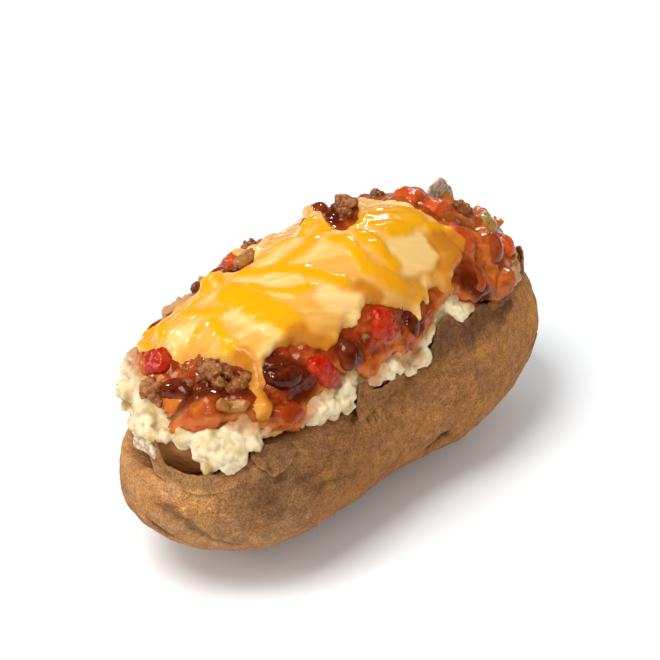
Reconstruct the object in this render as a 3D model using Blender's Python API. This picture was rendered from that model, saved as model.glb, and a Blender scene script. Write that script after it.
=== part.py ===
"""A baked potato, split along its top and heaped with its own fluffed flesh, chilli and cheese.

The potato lies along X with its slit upwards and rests on a small flat spot at z = 0.
Y runs across it and Z is up. All sizes below are in millimetres and angles in degrees.
A place on the heap is given by its distance along the potato and by its turn about the
heap's long axis: 0 is straight up, negative turns lean to the -Y side.
"""
import math

import bpy
import bmesh
import numpy as np
from mathutils import Matrix, Vector, noise

MM = 0.001

# ---- driving dimensions -------------------------------------------------------------
POTATO_LENGTH = 150.0
POTATO_WIDTH = 75.0
POTATO_HEIGHT = 59.0
BELLY_DROP = 31.8           # centre line to belly before the resting spot flattens it
CENTRE_HEIGHT = 30.2
REST_TURN = 11.0            # how far the flat resting spot reaches to either side of straight down
END_BLUNTNESS = 2.45

SLIT_START = -71.5
SLIT_END = 65.0
SLIT_FADE = 6.0
TROUGH_DEPTH = 13.0
OVERHANG = 1.6              # how far the flesh leans out over the lips

HEAP_START = -69.5
HEAP_END = 68.5
NEAR_SQUARENESS = 2.5
FAR_SQUARENESS = 2.0
LEFT_SQUARENESS = 3.0       # of the far side at the potato's left end

SAUCE_BED = 8.2             # how far the flesh lies below the heap's outline under the chilli
SAUCE_THICKNESS = 5.0
CHEESE_THICKNESS = 2.3
RIM_THICKNESS = 1.3
GAP = 0.6                   # clearance between one layer and the next
FLOOR_GAP = 0.6
LIP_CLEARANCE = 0.8
FLAP_CLEARANCE = 1.0
BEAN_POCKET = 1.9           # how much larger than the piece its pocket in the chilli is
CHUNK_POCKET = 0.9
MINCE_POCKET = 3.0

LUMP_SIZE = 17.0
LUMP_HEIGHT = 0.55

STATION_STEP = 6.0
EXTRA_STATIONS = (-54.0, -48.0)     # where the edge of the cheese runs steeply
TURN_STEP = 11.25

SKIN = (0.245, 0.118, 0.054)
FLESH = (0.80, 0.70, 0.47)
SAUCE = (0.27, 0.035, 0.010)
CHEESE = (0.93, 0.50, 0.075)
BEAN_RED = (0.085, 0.010, 0.006)
TOMATO = (0.56, 0.035, 0.014)
MINCE = (0.19, 0.060, 0.024)
ONION = (0.46, 0.21, 0.07)
PEPPER = (0.25, 0.15, 0.03)


# ---- small helpers ------------------------------------------------------------------
def profile(x, *pairs):
    """Smooth curve through (place, value) pairs."""
    place = np.array([pair[0] for pair in pairs], float)
    value = np.array([pair[1] for pair in pairs], float)
    x = float(np.clip(x, place[0], place[-1]))
    slope = np.gradient(value, place)
    i = int(np.clip(np.searchsorted(place, x) - 1, 0, len(place) - 2))
    span = place[i + 1] - place[i]
    t = (x - place[i]) / span
    return float(
        value[i] * (1 + 2 * t) * (1 - t) ** 2
        + slope[i] * span * t * (1 - t) ** 2
        + value[i + 1] * t * t * (3 - 2 * t)
        + slope[i + 1] * span * t * t * (t - 1)
    )


def ease(t):
    """0 below 0, 1 above 1, smooth between."""
    t = min(max(t, 0.0), 1.0)
    return t * t * (3 - 2 * t)


def lumps(x, y, z, size, seed):
    """Gentle unevenness between -1 and 1 with lumps about the given size across."""
    return noise.noise(Vector((x / size + seed, y / size, z / size)))


def make_material(name, colour, roughness, subsurface=0.0):
    material = bpy.data.materials.new(name)
    material.use_nodes = True
    shader = material.node_tree.nodes["Principled BSDF"]
    shader.inputs["Base Color"].default_value = (*colour, 1.0)
    shader.inputs["Roughness"].default_value = roughness
    shader.inputs["Metallic"].default_value = 0.0
    shader.inputs["Subsurface Weight"].default_value = subsurface
    return material


def finish(name, bm, material, cutter=False):
    """Turn a bmesh in millimetres into a smooth object in metres."""
    bmesh.ops.remove_doubles(bm, verts=bm.verts, dist=0.02)
    bmesh.ops.dissolve_degenerate(bm, edges=bm.edges, dist=0.01)
    bmesh.ops.triangulate(bm, faces=bm.faces)
    bmesh.ops.recalc_face_normals(bm, faces=bm.faces)
    bmesh.ops.scale(bm, vec=(MM, MM, MM), verts=bm.verts)
    mesh = bpy.data.meshes.new(name)
    bm.to_mesh(mesh)
    bm.free()
    mesh.shade_smooth()
    thing = bpy.data.objects.new(name, mesh)
    bpy.context.scene.collection.objects.link(thing)
    if cutter:
        thing.hide_render = True
        thing.display_type = "WIRE"
    else:
        mesh.materials.append(material)
    return thing


def loft(rings, start, end, back_from=None):
    """Closed skin over rings of equal length, closed by a point at each end.

    Cells are split along one diagonal, and along the other from back_from on, where a ring runs back
    beneath itself. Surfaces that lie over each other are then split alike.
    """
    bm = bmesh.new()
    rows = [[bm.verts.new(point) for point in ring] for ring in rings]
    count = len(rows[0])
    for low, high in zip(rows, rows[1:]):
        for j in range(count):
            k = (j + 1) % count
            if back_from is None or j < back_from:
                bm.faces.new((low[j], low[k], high[k]))
                bm.faces.new((low[j], high[k], high[j]))
            else:
                bm.faces.new((low[j], low[k], high[j]))
                bm.faces.new((low[k], high[k], high[j]))
    for row, tip in ((rows[0], start), (rows[-1], end)):
        point = bm.verts.new(tip)
        for j in range(count):
            bm.faces.new((row[j], row[(j + 1) % count], point))
    return bm


def boolean(target, tool, operation):
    modifier = target.modifiers.new(tool.name, "BOOLEAN")
    modifier.operation = operation
    modifier.object = tool
    modifier.solver = "EXACT"


# ---- the potato's own form ----------------------------------------------------------
def body_radius(x):
    """How full the potato is at x, 1 in the middle and 0 at its ends."""
    reach = min(abs(x) / (POTATO_LENGTH / 2), 1.0)
    return math.sqrt(1 - reach ** END_BLUNTNESS)


def body_middle(x):
    """The potato bends gently sideways along its length."""
    return profile(x, (-75, -2.7), (-52, -4), (-26, 2.6), (0, 3.7), (26, 1.3), (52, 0), (75, -1.4))


def body_point(x, turn):
    """A point on the whole potato's surface, turn degrees from straight up."""
    full = profile(x, (-75, 0.95), (-52, 0.965), (-26, 1.01), (0, 0.97), (26, 1.03), (52, 1.055), (75, 1.1))
    radius = body_radius(x) * full
    angle = math.radians(turn)
    wobble = 1 + 0.012 * lumps(x, 40 * math.sin(angle), 30 * math.cos(angle), 26.0, 3.0)
    y = body_middle(x) + POTATO_WIDTH / 2 * radius * wobble * math.sin(angle)
    rise = POTATO_HEIGHT / 2 if math.cos(angle) > 0 else BELLY_DROP
    z = CENTRE_HEIGHT + rise * radius * wobble * math.cos(angle)
    return y, max(z, 0.0)


def near_lip_turn(x):
    return -profile(x, (-75, 35), (-66, 44), (-58, 46), (-48, 42), (-40, 48), (-30, 52), (-18, 57), (0, 60),
                    (12, 53), (24, 51), (40, 47), (50, 48), (62, 42), (75, 25))


def far_lip_turn(x):
    return profile(x, (-75, 40), (-66, 60), (-56, 66), (-42, 56), (-20, 42), (0, 38), (25, 45), (50, 50),
                   (66, 30), (75, 25))


def trough_point(x, share):
    """A point on the floor of the slit; share runs from -1, the near lip, to 1, the far lip."""
    near_turn, far_turn = near_lip_turn(x), far_lip_turn(x)
    near, far = body_point(x, near_turn), body_point(x, far_turn)
    t = (share + 1) / 2
    whole = body_point(x, near_turn + (far_turn - near_turn) * t)
    open_y = near[0] + (far[0] - near[0]) * t
    open_z = near[1] + (far[1] - near[1]) * t - TROUGH_DEPTH * body_radius(x) * (1 - share * share)
    opened = ease((x - SLIT_START) / SLIT_FADE) * ease((SLIT_END - x) / SLIT_FADE)
    return whole[0] + (open_y - whole[0]) * opened, whole[1] + (open_z - whole[1]) * opened


# ---- the heap's form ----------------------------------------------------------------
def heap_fullness(x):
    reach = (x - (HEAP_START + HEAP_END) / 2) / ((HEAP_END - HEAP_START) / 2)
    return math.sqrt(max(1 - abs(reach) ** 5, 0.0))


def heap_axis(x):
    """Middle, height and half width of the heap's foot at x."""
    near, far = body_point(x, near_lip_turn(x)), body_point(x, far_lip_turn(x))
    middle = (near[0] + far[0]) / 2
    foot = profile(x, (HEAP_START, 45), (-55, 44.2), (-20, 46.7), (20, 48.7), (45, 48.7), (HEAP_END, 48))
    spread = OVERHANG + profile(x, (-62, 4.5), (-35, 0.3), (0, 0.6), (48, 0.0), (62, 2.0))
    return middle + profile(x, (-62, 1.4), (-35, 0.0)), foot, (far[0] - near[0]) / 2 + spread


def heap_radius(x, turn):
    """Distance from the heap's axis to its outline."""
    _, foot, half_width = heap_axis(x)
    crown = profile(x, (-66, 59), (-42, 69.6), (-19, 76.6), (4, 79), (27, 75.4), (50, 69.4), (66, 60))
    fullness = max(heap_fullness(x), 0.01)
    side = abs(math.sin(math.radians(turn))) / (half_width * fullness)
    rise = abs(math.cos(math.radians(turn))) / ((crown - foot) * fullness)
    power = NEAR_SQUARENESS if turn < 0 else profile(x, (-58, LEFT_SQUARENESS), (-32, FAR_SQUARENESS))
    return (side ** power + rise ** power) ** (-1 / power)


def heap_point(x, turn, depth=0.0):
    """A point below the heap's outline by the given depth."""
    middle, foot, _ = heap_axis(x)
    radius = max(heap_radius(x, turn) - depth, 0.0)
    angle = math.radians(turn)
    return Vector((x, middle + radius * math.sin(angle), foot + radius * math.cos(angle)))


class Layer:
    """The part of the heap that one layer covers: near and far edge by turn, along its length."""

    def __init__(self, start, end, near, far):
        self.start, self.end = start, end
        self.near_pairs, self.far_pairs = near, far

    def closing(self, x):
        """1 along the layer, falling to 0 where it ends."""
        reach = (x - (self.start + self.end) / 2) / ((self.end - self.start) / 2)
        return max(1 - abs(reach) ** 6, 0.0) ** 0.5

    def edges(self, x):
        near, far = profile(x, *self.near_pairs), profile(x, *self.far_pairs)
        middle = (near + far) / 2
        closing = self.closing(x)
        return middle + (near - middle) * closing, middle + (far - middle) * closing

    def inside(self, x, turn, soft):
        """0 at the layer's edge, 1 once soft degrees inside it."""
        near, far = self.edges(x)
        along = min(x - self.start, self.end - x) / 8.0
        return ease((turn - near) / soft) * ease((far - turn) / soft) * ease(along)


SAUCE_COVER = Layer(
    -66.0, 65.0,
    near=((-66, -50), (-60, -62), (-55, -56), (-49, -70), (-43, -82), (-37, -78), (-27, -79), (-22, -72),
          (-12, -82), (-4, -73), (5, -86), (13, -76), (20, -75), (29, -78), (36, -84), (48, -88), (65, -80)),
    far=((-66, 34), (-60, 54), (-54, 66), (-47, 71), (-40, 70), (-25, 64), (-10, 68), (5, 62), (20, 68),
         (35, 62), (50, 66), (65, 60)),
)
CHEESE_COVER = Layer(
    -54.5, 38.0,
    near=((-54.5, -2), (-50, -12), (-48, -34), (-45, -56), (-41, -44), (-34, -41), (-27, -52), (-20, -51),
          (-12, -46), (-7, -46), (0, -57), (11, -60), (17, -66), (24, -76), (31, -68), (38, -50)),
    far=((-54.5, 62), (-47, 62), (-44, 59), (-38, 50), (-33, 26), (-22, 20), (-12, 22), (-4, 12), (4, -3),
         (10, -1), (17, 12), (24, 15), (29, 5), (38, -40)),
)


def flesh_depth(x, turn):
    """The flesh comes out to the heap's outline round the chilli and lies lower beneath it."""
    return 0.4 + (SAUCE_BED - 0.4) * SAUCE_COVER.inside(x, turn, 16.0)


def flesh_top(x, turn):
    uneven = LUMP_HEIGHT * lumps(x, turn / 2, 0.0, LUMP_SIZE, 11.0)
    return flesh_depth(x, turn) + uneven


def sauce_top(x, turn):
    thickness = RIM_THICKNESS + (SAUCE_THICKNESS - RIM_THICKNESS) * SAUCE_COVER.inside(x, turn, 20.0)
    uneven = LUMP_HEIGHT * lumps(x, turn / 2, 0.0, LUMP_SIZE, 23.0)
    return flesh_top(x, turn) - GAP - thickness + uneven


def cheese_top(x, turn):
    thickness = RIM_THICKNESS + (CHEESE_THICKNESS - RIM_THICKNESS) * CHEESE_COVER.inside(x, turn, 12.0)
    return sauce_top(x, turn) - GAP - thickness


def stations(start, end):
    """Places along the potato, shared by every layer so that their facets run parallel."""
    count = round(POTATO_LENGTH / STATION_STEP)
    places = [-POTATO_LENGTH / 2 + STATION_STEP * i for i in range(1, count)]
    places = sorted(places + list(EXTRA_STATIONS))
    return [x for x in places if start + 0.8 < x < end - 0.8]


def facet_points(x, lowest, highest, depth):
    """Points at even turns across the heap; those past a limit are moved back to it along their facet."""
    points = []
    for turn in np.arange(-90.0, 90.1, TURN_STEP):
        kept = min(max(turn, lowest), highest)
        low = TURN_STEP * math.floor(kept / TURN_STEP)
        high = low + TURN_STEP
        start, end = heap_point(x, low, depth(x, low)), heap_point(x, high, depth(x, high))
        points.append(start.lerp(end, (kept - low) / TURN_STEP))
    return points


def layer_mesh(cover, top, bottom):
    """A layer of the heap between two depths, clipped to its edges."""
    rings = []
    for x in stations(cover.start, cover.end):
        near, far = cover.edges(x)
        over = facet_points(x, near, far, top)
        under = facet_points(x, near, far, bottom)
        rings.append(over + under[::-1])
    tips = []
    for x in (cover.start, cover.end):
        turn = sum(cover.edges(x)) / 2
        tips.append(heap_point(x, turn, (top(x, turn) + bottom(x, turn)) / 2))
    return loft(rings, *tips, back_from=len(over))


# ---- the pieces ---------------------------------------------------------------------
def make_jacket(material):
    """Skin and baked flesh in one: the potato with its slit opened to a trough."""
    shares = np.linspace(1.0, -1.0, 9)[1:-1]
    half_count = 8              # points down each side, from the lip to the resting spot
    places = [-73.5, -72.0] + stations(-71.0, 71.0) + [72.0, 73.5]
    rings = []
    for x in places:
        near, far = near_lip_turn(x), far_lip_turn(x)
        near_side = np.linspace(near, REST_TURN - 180.0, half_count)
        far_side = np.linspace(-REST_TURN - 180.0, far - 360.0, half_count)
        outer = [body_point(x, turn) for turn in (*near_side, *far_side)]
        trough = [trough_point(x, share) for share in shares]
        rings.append([(x, y, z) for y, z in outer + trough])
    half = POTATO_LENGTH / 2
    bm = loft(rings, (-half, body_middle(-half), CENTRE_HEIGHT), (half, body_middle(half), CENTRE_HEIGHT))
    return finish("potato_jacket", bm, material)


def flap_mesh(base_start, base_end, tip, bulge, thickness, grow=0.0):
    """A torn tongue of skin: a thin bent triangle standing on two points of the lip."""
    base_start, base_end, tip = Vector(base_start), Vector(base_end), Vector(tip)
    across = base_end - base_start
    outwards = across.cross(tip - base_start).normalized()
    steps = 4
    rings = []
    for i in range(steps):
        rise = i / steps
        left = base_start.lerp(tip, rise)
        right = base_end.lerp(tip, rise)
        middle = (left + right) / 2 + outwards * bulge * math.sin(math.pi * (0.25 + rise / 2))
        half = outwards * thickness / 2 * (1 - 0.5 * rise)
        front = [left + half, middle + half, right + half]
        back = [right - half, middle - half, left - half]
        rings.append(front + back)
    bm = loft(rings, (base_start + base_end) / 2 - outwards * 0.1, tip)
    bmesh.ops.recalc_face_normals(bm, faces=bm.faces)
    bm.normal_update()
    for vert in bm.verts:
        vert.co += vert.normal * grow
    return bm


FLAPS = {
    "skin_tip": dict(base_start=(47.0, -23.5, 44.5), base_end=(64.5, -14.0, 41.5), tip=(64.5, -15.0, 49.2),
                     bulge=1.2, thickness=1.6),
    "skin_peak": dict(base_start=(65.0, 4.0, 45.0), base_end=(52.0, 19.5, 46.5), tip=(62.5, 10.5, 62.0),
                      bulge=1.0, thickness=1.8),
}


def foot_turn(x, lip):
    """How far round the heap reaches before it comes down to a lip."""
    _, foot, half_width = heap_axis(x)
    rise = max(lip[1] + LIP_CLEARANCE - foot, 0.0)
    return 90.0 - math.degrees(math.atan2(rise, half_width * max(heap_fullness(x), 0.05)))


def make_flesh(material):
    """The fluffed flesh: it fills the trough, leans over the lips and stands up as the heap's core."""
    rings = []
    for x in stations(HEAP_START, HEAP_END):
        near, far = body_point(x, near_lip_turn(x)), body_point(x, far_lip_turn(x))
        over = facet_points(x, -foot_turn(x, near), foot_turn(x, far), flesh_top)
        under = [(x, far[0], far[1] + LIP_CLEARANCE)]
        for share in np.linspace(0.84, -0.84, 7):
            y, z = trough_point(x, share)
            under.append((x, y, z + FLOOR_GAP))
        under.append((x, near[0], near[1] + LIP_CLEARANCE))
        rings.append(over + under)
    tips = []
    for x in (HEAP_START, HEAP_END):
        middle, foot, _ = heap_axis(x)
        tips.append((x, middle, foot))
    return finish("fluffed_flesh", loft(rings, *tips), material)


def bean_mesh(size, pocket):
    """A kidney bean, or the roomier plain pocket that it lies in."""
    length, width, height = (value + (BEAN_POCKET if pocket else 0.0) for value in size)
    bm = bmesh.new()
    bmesh.ops.create_uvsphere(bm, u_segments=6 if pocket else 7, v_segments=4 if pocket else 6, radius=0.52)
    bmesh.ops.rotate(bm, verts=bm.verts, matrix=Matrix.Rotation(math.pi / 2, 3, "Y"))
    for vert in bm.verts:
        x, y, z = vert.co
        bend = 0.16 * width * (4 * x * x - 0.3)
        vert.co = (x * length, y * width + bend, z * height)
    return bm


def chunk_mesh(size, pocket):
    """A soft-cornered piece of tomato, onion or pepper, slightly bent along its length."""
    length, width, height = (value + (CHUNK_POCKET if pocket else 0.0) for value in size)
    bm = bmesh.new()
    bmesh.ops.create_cube(bm, size=1.0)
    edges = [edge for edge in bm.edges if abs((edge.verts[0].co - edge.verts[1].co).x) > 0.5]
    bmesh.ops.subdivide_edges(bm, edges=edges, cuts=2, use_grid_fill=True)
    if not pocket:
        corners = [edge for edge in bm.edges if edge.calc_face_angle(0.0) > 1.0]
        bmesh.ops.bevel(bm, geom=corners, offset=0.2, segments=1, affect="EDGES", clamp_overlap=True)
    for vert in bm.verts:
        x, y, z = vert.co
        bend = 0.35 * size[2] * (4 * x * x - 0.4)
        skew = 1 + 0.12 * noise.noise(Vector((3 * x, 3 * y, size[0])))
        vert.co = (x * length, y * width * skew, z * height - bend)
    return bm


def mince_mesh(size, pocket):
    """A crumbled cluster of minced meat, as one knobbly lump."""
    length, width, height = (value + (MINCE_POCKET if pocket else 0.0) for value in size)
    bm = bmesh.new()
    bmesh.ops.create_icosphere(bm, subdivisions=1 if pocket else 2, radius=0.5)
    for vert in bm.verts:
        knob = 1 if pocket else 1 + 0.22 * noise.noise(vert.co * 4.4 + Vector((size[0], 0, 0)))
        vert.co = (vert.co.x * length * knob, vert.co.y * width * knob, vert.co.z * height * knob)
    return bm


SHAPES = {
    "bean": bean_mesh,
    "tomato": chunk_mesh,
    "onion": chunk_mesh,
    "pepper": chunk_mesh,
    "mince": mince_mesh,
}

# name: kind, size, place along, turn, heading, height of its middle over the chilli, and what it sits in
TOPPINGS = {
    "bean_1": ("bean", (11.0, 7.3, 6.5), -58.0, 1, 104, 0.8, "s"),
    "bean_2": ("bean", (11.5, 7.6, 6.8), -39.8, -53, -30, 0.8, "sc"),
    "bean_3": ("bean", (10.5, 7.2, 6.2), -43.5, -72, -28, 0.4, "s"),
    "bean_4": ("bean", (10.0, 6.6, 6.2), -21.5, -62, 80, 1.0, "sc"),
    "bean_5": ("bean", (10.0, 7.0, 6.4), 2.5, -69, 62, 0.6, "sc"),
    "bean_6": ("bean", (11.0, 7.4, 6.4), -28.0, 29, 15, 1.2, "sc"),
    "bean_7": ("bean", (11.0, 7.4, 6.4), 2.0, 13, 15, 1.0, "sc"),
    "bean_8": ("bean", (10.5, 7.4, 6.6), 32.5, -69, 60, 0.6, "sc"),
    "bean_9": ("bean", (10.5, 7.0, 6.4), 42.3, -81, 20, 0.4, "s"),
    "bean_10": ("bean", (11.0, 8.2, 7.0), 44.6, -62, 40, 1.0, "s"),
    "bean_11": ("bean", (10.5, 7.4, 6.4), 14.0, 36, 70, 1.4, "s"),
    "tomato_1": ("tomato", (8.5, 7.0, 4.6), -54.6, 35, 95, 1.6, "sc"),
    "tomato_2": ("tomato", (13.0, 5.6, 4.8), -28.8, -63, -62, 1.6, "sc"),
    "tomato_3": ("tomato", (9.5, 8.0, 5.0), -8.0, -57, 60, 1.0, "sc"),
    "tomato_4": ("tomato", (11.0, 8.0, 5.0), 35.5, 2, 10, 1.2, "sc"),
    "tomato_5": ("tomato", (8.5, 6.0, 4.6), 37.6, -19, -10, 0.8, "sc"),
    "tomato_6": ("tomato", (11.0, 5.0, 4.2), 33.5, -44, -80, 1.0, "sc"),
    "tomato_7": ("tomato", (11.0, 9.0, 4.0), -60.0, -44, 70, 0.2, "s"),
    "tomato_8": ("tomato", (11.0, 7.0, 4.8), -15.4, 48, 100, 0.8, "s"),
    "tomato_9": ("tomato", (8.5, 6.5, 4.6), 53.2, -66, 60, 0.0, "s"),
    "mince_1": ("mince", (9.6, 9.2, 8.4), -51.2, -20, 0, 1.2, "sc"),
    "mince_2": ("mince", (7.6, 7.2, 6.6), -50.0, -43, 30, 1.0, "sc"),
    "mince_3": ("mince", (9.4, 8.4, 8.4), 13.0, 12, 0, 2.2, "sc"),
    "mince_4": ("mince", (7.0, 6.4, 6.0), 44.6, -29, 0, 1.2, "s"),
    "mince_5": ("mince", (6.8, 6.5, 6.0), -62.7, 40, 0, 0.4, "s"),
    "mince_6": ("mince", (9.5, 8.0, 7.0), 0.0, 68, 0, 0.2, "s"),
    "onion_1": ("onion", (9.5, 3.4, 3.0), -51.5, -58, -40, 1.2, "s"),
    "onion_2": ("onion", (10.0, 5.0, 3.2), -17.5, 25, 10, 1.4, "sc"),
    "pepper_1": ("pepper", (8.0, 5.4, 3.4), 51.8, -43, 20, 0.6, "s"),
}


def seat(x, turn, heading, height):
    """Frame of a piece sitting on the chilli: X along its length, Z out of the heap."""
    here = heap_point(x, turn, sauce_top(x, turn))
    step = 1.5
    ahead = heap_point(x + step, turn, sauce_top(x + step, turn))
    behind = heap_point(x - step, turn, sauce_top(x - step, turn))
    left = heap_point(x, turn + 3, sauce_top(x, turn + 3))
    right = heap_point(x, turn - 3, sauce_top(x, turn - 3))
    along = (ahead - behind).normalized()
    outwards = along.cross(left - right).normalized()
    across = outwards.cross(along)
    angle = math.radians(heading)
    length_way = along * math.cos(angle) + across * math.sin(angle)
    side_way = outwards.cross(length_way)
    frame = Matrix((length_way, side_way, outwards)).transposed().to_4x4()
    frame.translation = here + outwards * height
    return frame


def make_topping(name, material, kind, size, x, turn, heading, height, cutter=False):
    bm = SHAPES[kind](size, cutter)
    bmesh.ops.transform(bm, matrix=seat(x, turn, heading, height), verts=bm.verts)
    return finish(name + "_cutter" if cutter else name, bm, material, cutter)


def main():
    for thing in list(bpy.data.objects):
        bpy.data.objects.remove(thing, do_unlink=True)

    skin = make_material("russet_skin", SKIN, 0.75)
    flesh = make_material("cooked_flesh", FLESH, 0.6, 0.2)
    sauce = make_material("chilli_sauce", SAUCE, 0.2, 0.1)
    cheese = make_material("melted_cheese", CHEESE, 0.25, 0.2)
    topping_materials = {
        "bean": make_material("kidney_bean", BEAN_RED, 0.2),
        "tomato": make_material("stewed_tomato", TOMATO, 0.22, 0.1),
        "mince": make_material("minced_beef", MINCE, 0.45),
        "onion": make_material("fried_onion", ONION, 0.3, 0.1),
        "pepper": make_material("green_pepper", PEPPER, 0.3, 0.1),
    }

    jacket = make_jacket(skin)
    core = make_flesh(flesh)
    chilli = finish("chilli_sauce", layer_mesh(
        SAUCE_COVER, sauce_top, lambda x, turn: flesh_top(x, turn) - GAP), sauce)
    melt = finish("melted_cheese", layer_mesh(
        CHEESE_COVER, cheese_top, lambda x, turn: sauce_top(x, turn) - GAP), cheese)

    for name, shape in FLAPS.items():
        flap = finish(name, flap_mesh(**shape), None, cutter=True)
        boolean(jacket, flap, "UNION")
        clearance = finish(name + "_cutter", flap_mesh(**shape, grow=FLAP_CLEARANCE), None, cutter=True)
        for layer in (core, chilli):
            boolean(layer, clearance, "DIFFERENCE")

    seats = {"s": chilli, "c": melt, "f": core}
    for name, (kind, size, x, turn, heading, height, sits_in) in TOPPINGS.items():
        place = (kind, size, x, turn, heading, height)
        make_topping(name, topping_materials[kind], *place)
        cutter = make_topping(name, None, *place, cutter=True)
        for key in sits_in + "f":
            boolean(seats[key], cutter, "DIFFERENCE")


main()
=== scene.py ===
"""A baked potato heaped with its own flesh, chilli and melted cheese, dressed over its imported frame."""
import math

import bpy
import numpy as np
from mathutils import Matrix, Vector, noise
from mathutils.bvhtree import BVHTree


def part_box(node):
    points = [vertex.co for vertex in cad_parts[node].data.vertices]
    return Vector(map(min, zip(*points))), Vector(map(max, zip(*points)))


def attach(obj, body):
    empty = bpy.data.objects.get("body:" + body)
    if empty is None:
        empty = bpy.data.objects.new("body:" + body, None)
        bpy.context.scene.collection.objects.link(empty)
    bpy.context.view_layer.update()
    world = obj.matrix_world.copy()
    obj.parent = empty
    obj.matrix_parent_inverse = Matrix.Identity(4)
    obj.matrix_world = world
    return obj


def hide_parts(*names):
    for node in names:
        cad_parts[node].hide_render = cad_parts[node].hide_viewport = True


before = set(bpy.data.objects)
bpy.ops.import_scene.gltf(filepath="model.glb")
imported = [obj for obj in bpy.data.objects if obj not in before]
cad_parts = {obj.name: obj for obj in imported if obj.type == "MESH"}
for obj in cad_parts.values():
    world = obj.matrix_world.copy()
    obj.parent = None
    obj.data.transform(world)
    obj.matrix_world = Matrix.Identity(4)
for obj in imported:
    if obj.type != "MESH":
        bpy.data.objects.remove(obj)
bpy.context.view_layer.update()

bl_info = {
    "name": "Loaded Baked Potato",
    "version": (1, 0, 0),
    "blender": (4, 5, 0),
    "location": "View3D > Sidebar > Baked Potato",
    "description": "Dresses a baked potato with flesh, chilli, cheese and a stage",
    "category": "Add Mesh",
}

MM = 0.001

# The heap's long axis, in millimetres: place along the potato, middle, height
AXIS = np.array((
    (-70, -0.5, 45.0), (-66, -0.5, 44.8), (-60, -0.5, 44.4), (-50, 0.3, 44.2), (-40, 0.4, 44.9), (-30, 1.1,
    45.9), (-20, 0.3, 46.7), (-10, -0.6, 47.3), (0, -0.8, 47.9), (10, 0.0, 48.4), (20, 0.1, 48.7), (30, 0.4,
    48.8), (40, 1.4, 48.8), (50, 0.5, 48.6), (60, -1.6, 48.3), (66, -2.0, 48.1), (70, -2.0, 48.0)), float)
DEGREE = 0.5                    # millimetres of surface for each degree of turn about that axis

# Torn strips of skin: free edge, root, wall, how dark, and how corky
STRIPS = (
    (((-68.9, -2.6, 48.0), (-69.6, -5.2, 45.0), (-69.7, -7.1, 42.9), (-69.2, -9.6, 42.1),
      (-67.7, -14.0, 41.9), (-66.2, -15.9, 41.6), (-63.7, -17.8, 42.1), (-60.2, -19.6, 42.9),
      (-57.7, -20.6, 42.9), (-54.2, -22.0, 44.0)),
     ((-71.0, -1.5, 42.5), (-72.3, -5.0, 40.0), (-72.3, -8.0, 38.5), (-71.2, -12.0, 37.5),
      (-69.6, -16.5, 37.0), (-67.8, -19.2, 37.0), (-65.0, -21.5, 37.3), (-61.5, -23.6, 38.4),
      (-58.5, -25.0, 39.5), (-55.0, -26.0, 41.5)), 0.5, 0.6, 0),
    (((-70.6, 3.6, 46.4), (-70.6, 1.6, 47.3), (-70.4, -0.4, 47.6), (-70.2, -2.4, 47.2), (-70.0, -4.2, 46.0)),
     ((-70.6, 4.4, 42.6), (-71.4, 2.2, 43.4), (-71.6, 0.0, 43.8), (-71.6, -2.0, 43.6),
      (-71.4, -4.4, 42.8)), 1.3, 0.5, 1),
    (((-56.2, -24.6, 45.4), (-55.4, -27.2, 43.0), (-53.3, -29.4, 40.4), (-50.3, -30.6, 41.5),
      (-46.8, -29.8, 42.8), (-43.6, -28.6, 44.0)),
     ((-55.4, -23.2, 46.6), (-53.6, -23.8, 46.8), (-51.4, -24.4, 46.8), (-49.0, -25.0, 46.6),
      (-46.6, -25.8, 46.2), (-44.0, -26.6, 45.6)), 0.5, 0.9, 0),
    (((-19.5, -28.4, 47.4), (-17.0, -29.4, 46.4), (-14.0, -29.8, 45.2), (-11.0, -29.8, 43.8),
      (-8.0, -29.4, 44.8)),
     ((-20.0, -28.4, 42.6), (-17.0, -29.4, 41.6), (-14.0, -29.8, 41.0), (-11.0, -30.0, 41.0),
      (-8.0, -29.8, 41.4)), 0.5, 0.35, 0),
    (((24.0, -27.8, 50.2), (30.0, -27.6, 50.4), (36.0, -26.6, 50.2), (42.0, -25.6, 49.4),
      (48.0, -24.0, 48.4), (53.0, -22.4, 48.0)),
     ((24.0, -29.6, 45.4), (30.0, -29.6, 45.4), (36.0, -28.8, 45.4), (42.0, -27.6, 45.2),
      (48.0, -25.8, 45.0), (53.0, -24.2, 44.6)), 0.5, 0.6, 0),
    (((52.0, -22.6, 48.2), (56.5, -20.6, 48.8), (60.5, -18.6, 50.2), (62.8, -16.9, 51.2),
      (63.6, -14.6, 50.2), (63.0, -12.0, 48.0)),
     ((52.0, -24.0, 44.6), (57.0, -22.0, 44.2), (61.5, -19.4, 43.8), (64.6, -16.6, 43.6),
      (66.0, -13.4, 43.4), (66.2, -10.6, 43.4)), 0.5, 0.7, 0),
    (((49.8, 9.0, 62.6), (52.6, 9.8, 64.4), (56.0, 10.6, 65.2), (58.8, 11.0, 65.0), (61.8, 11.4, 63.2),
      (64.6, 11.6, 60.0), (66.6, 11.6, 54.2)),
     ((50.0, 10.0, 54.0), (53.0, 11.0, 52.0), (56.0, 12.0, 50.0), (59.0, 12.6, 49.0), (62.0, 12.8, 47.6),
      (65.0, 12.6, 46.0), (67.4, 12.0, 45.0)), 0.9, 0.5, 1),
)
# Torn skin that lies up against the flesh, dark partly in its own colour and partly as painted shade under
# the overhanging flesh: free edge as (place along the potato, turn about the heap's axis), how dark
LAPS_AND_SHADE = (
    (((-21.5, -93), (-20.5, -80), (-17.5, -79), (-16, -86), (-13, -88.5), (-10, -88.5), (-8, -86),
      (-6, -87), (-3.5, -91), (-1.8, -98)), 0.45),
    (((7.6, -97), (9, -91), (10.4, -84), (12, -79.5), (14, -76), (16, -75), (18, -76.5), (20, -80),
      (22.6, -84), (25.6, -84.5), (27.6, -81.5), (30, -82.5), (34, -86), (38, -89), (43, -92),
      (47, -96)), 1.0),
)
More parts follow.
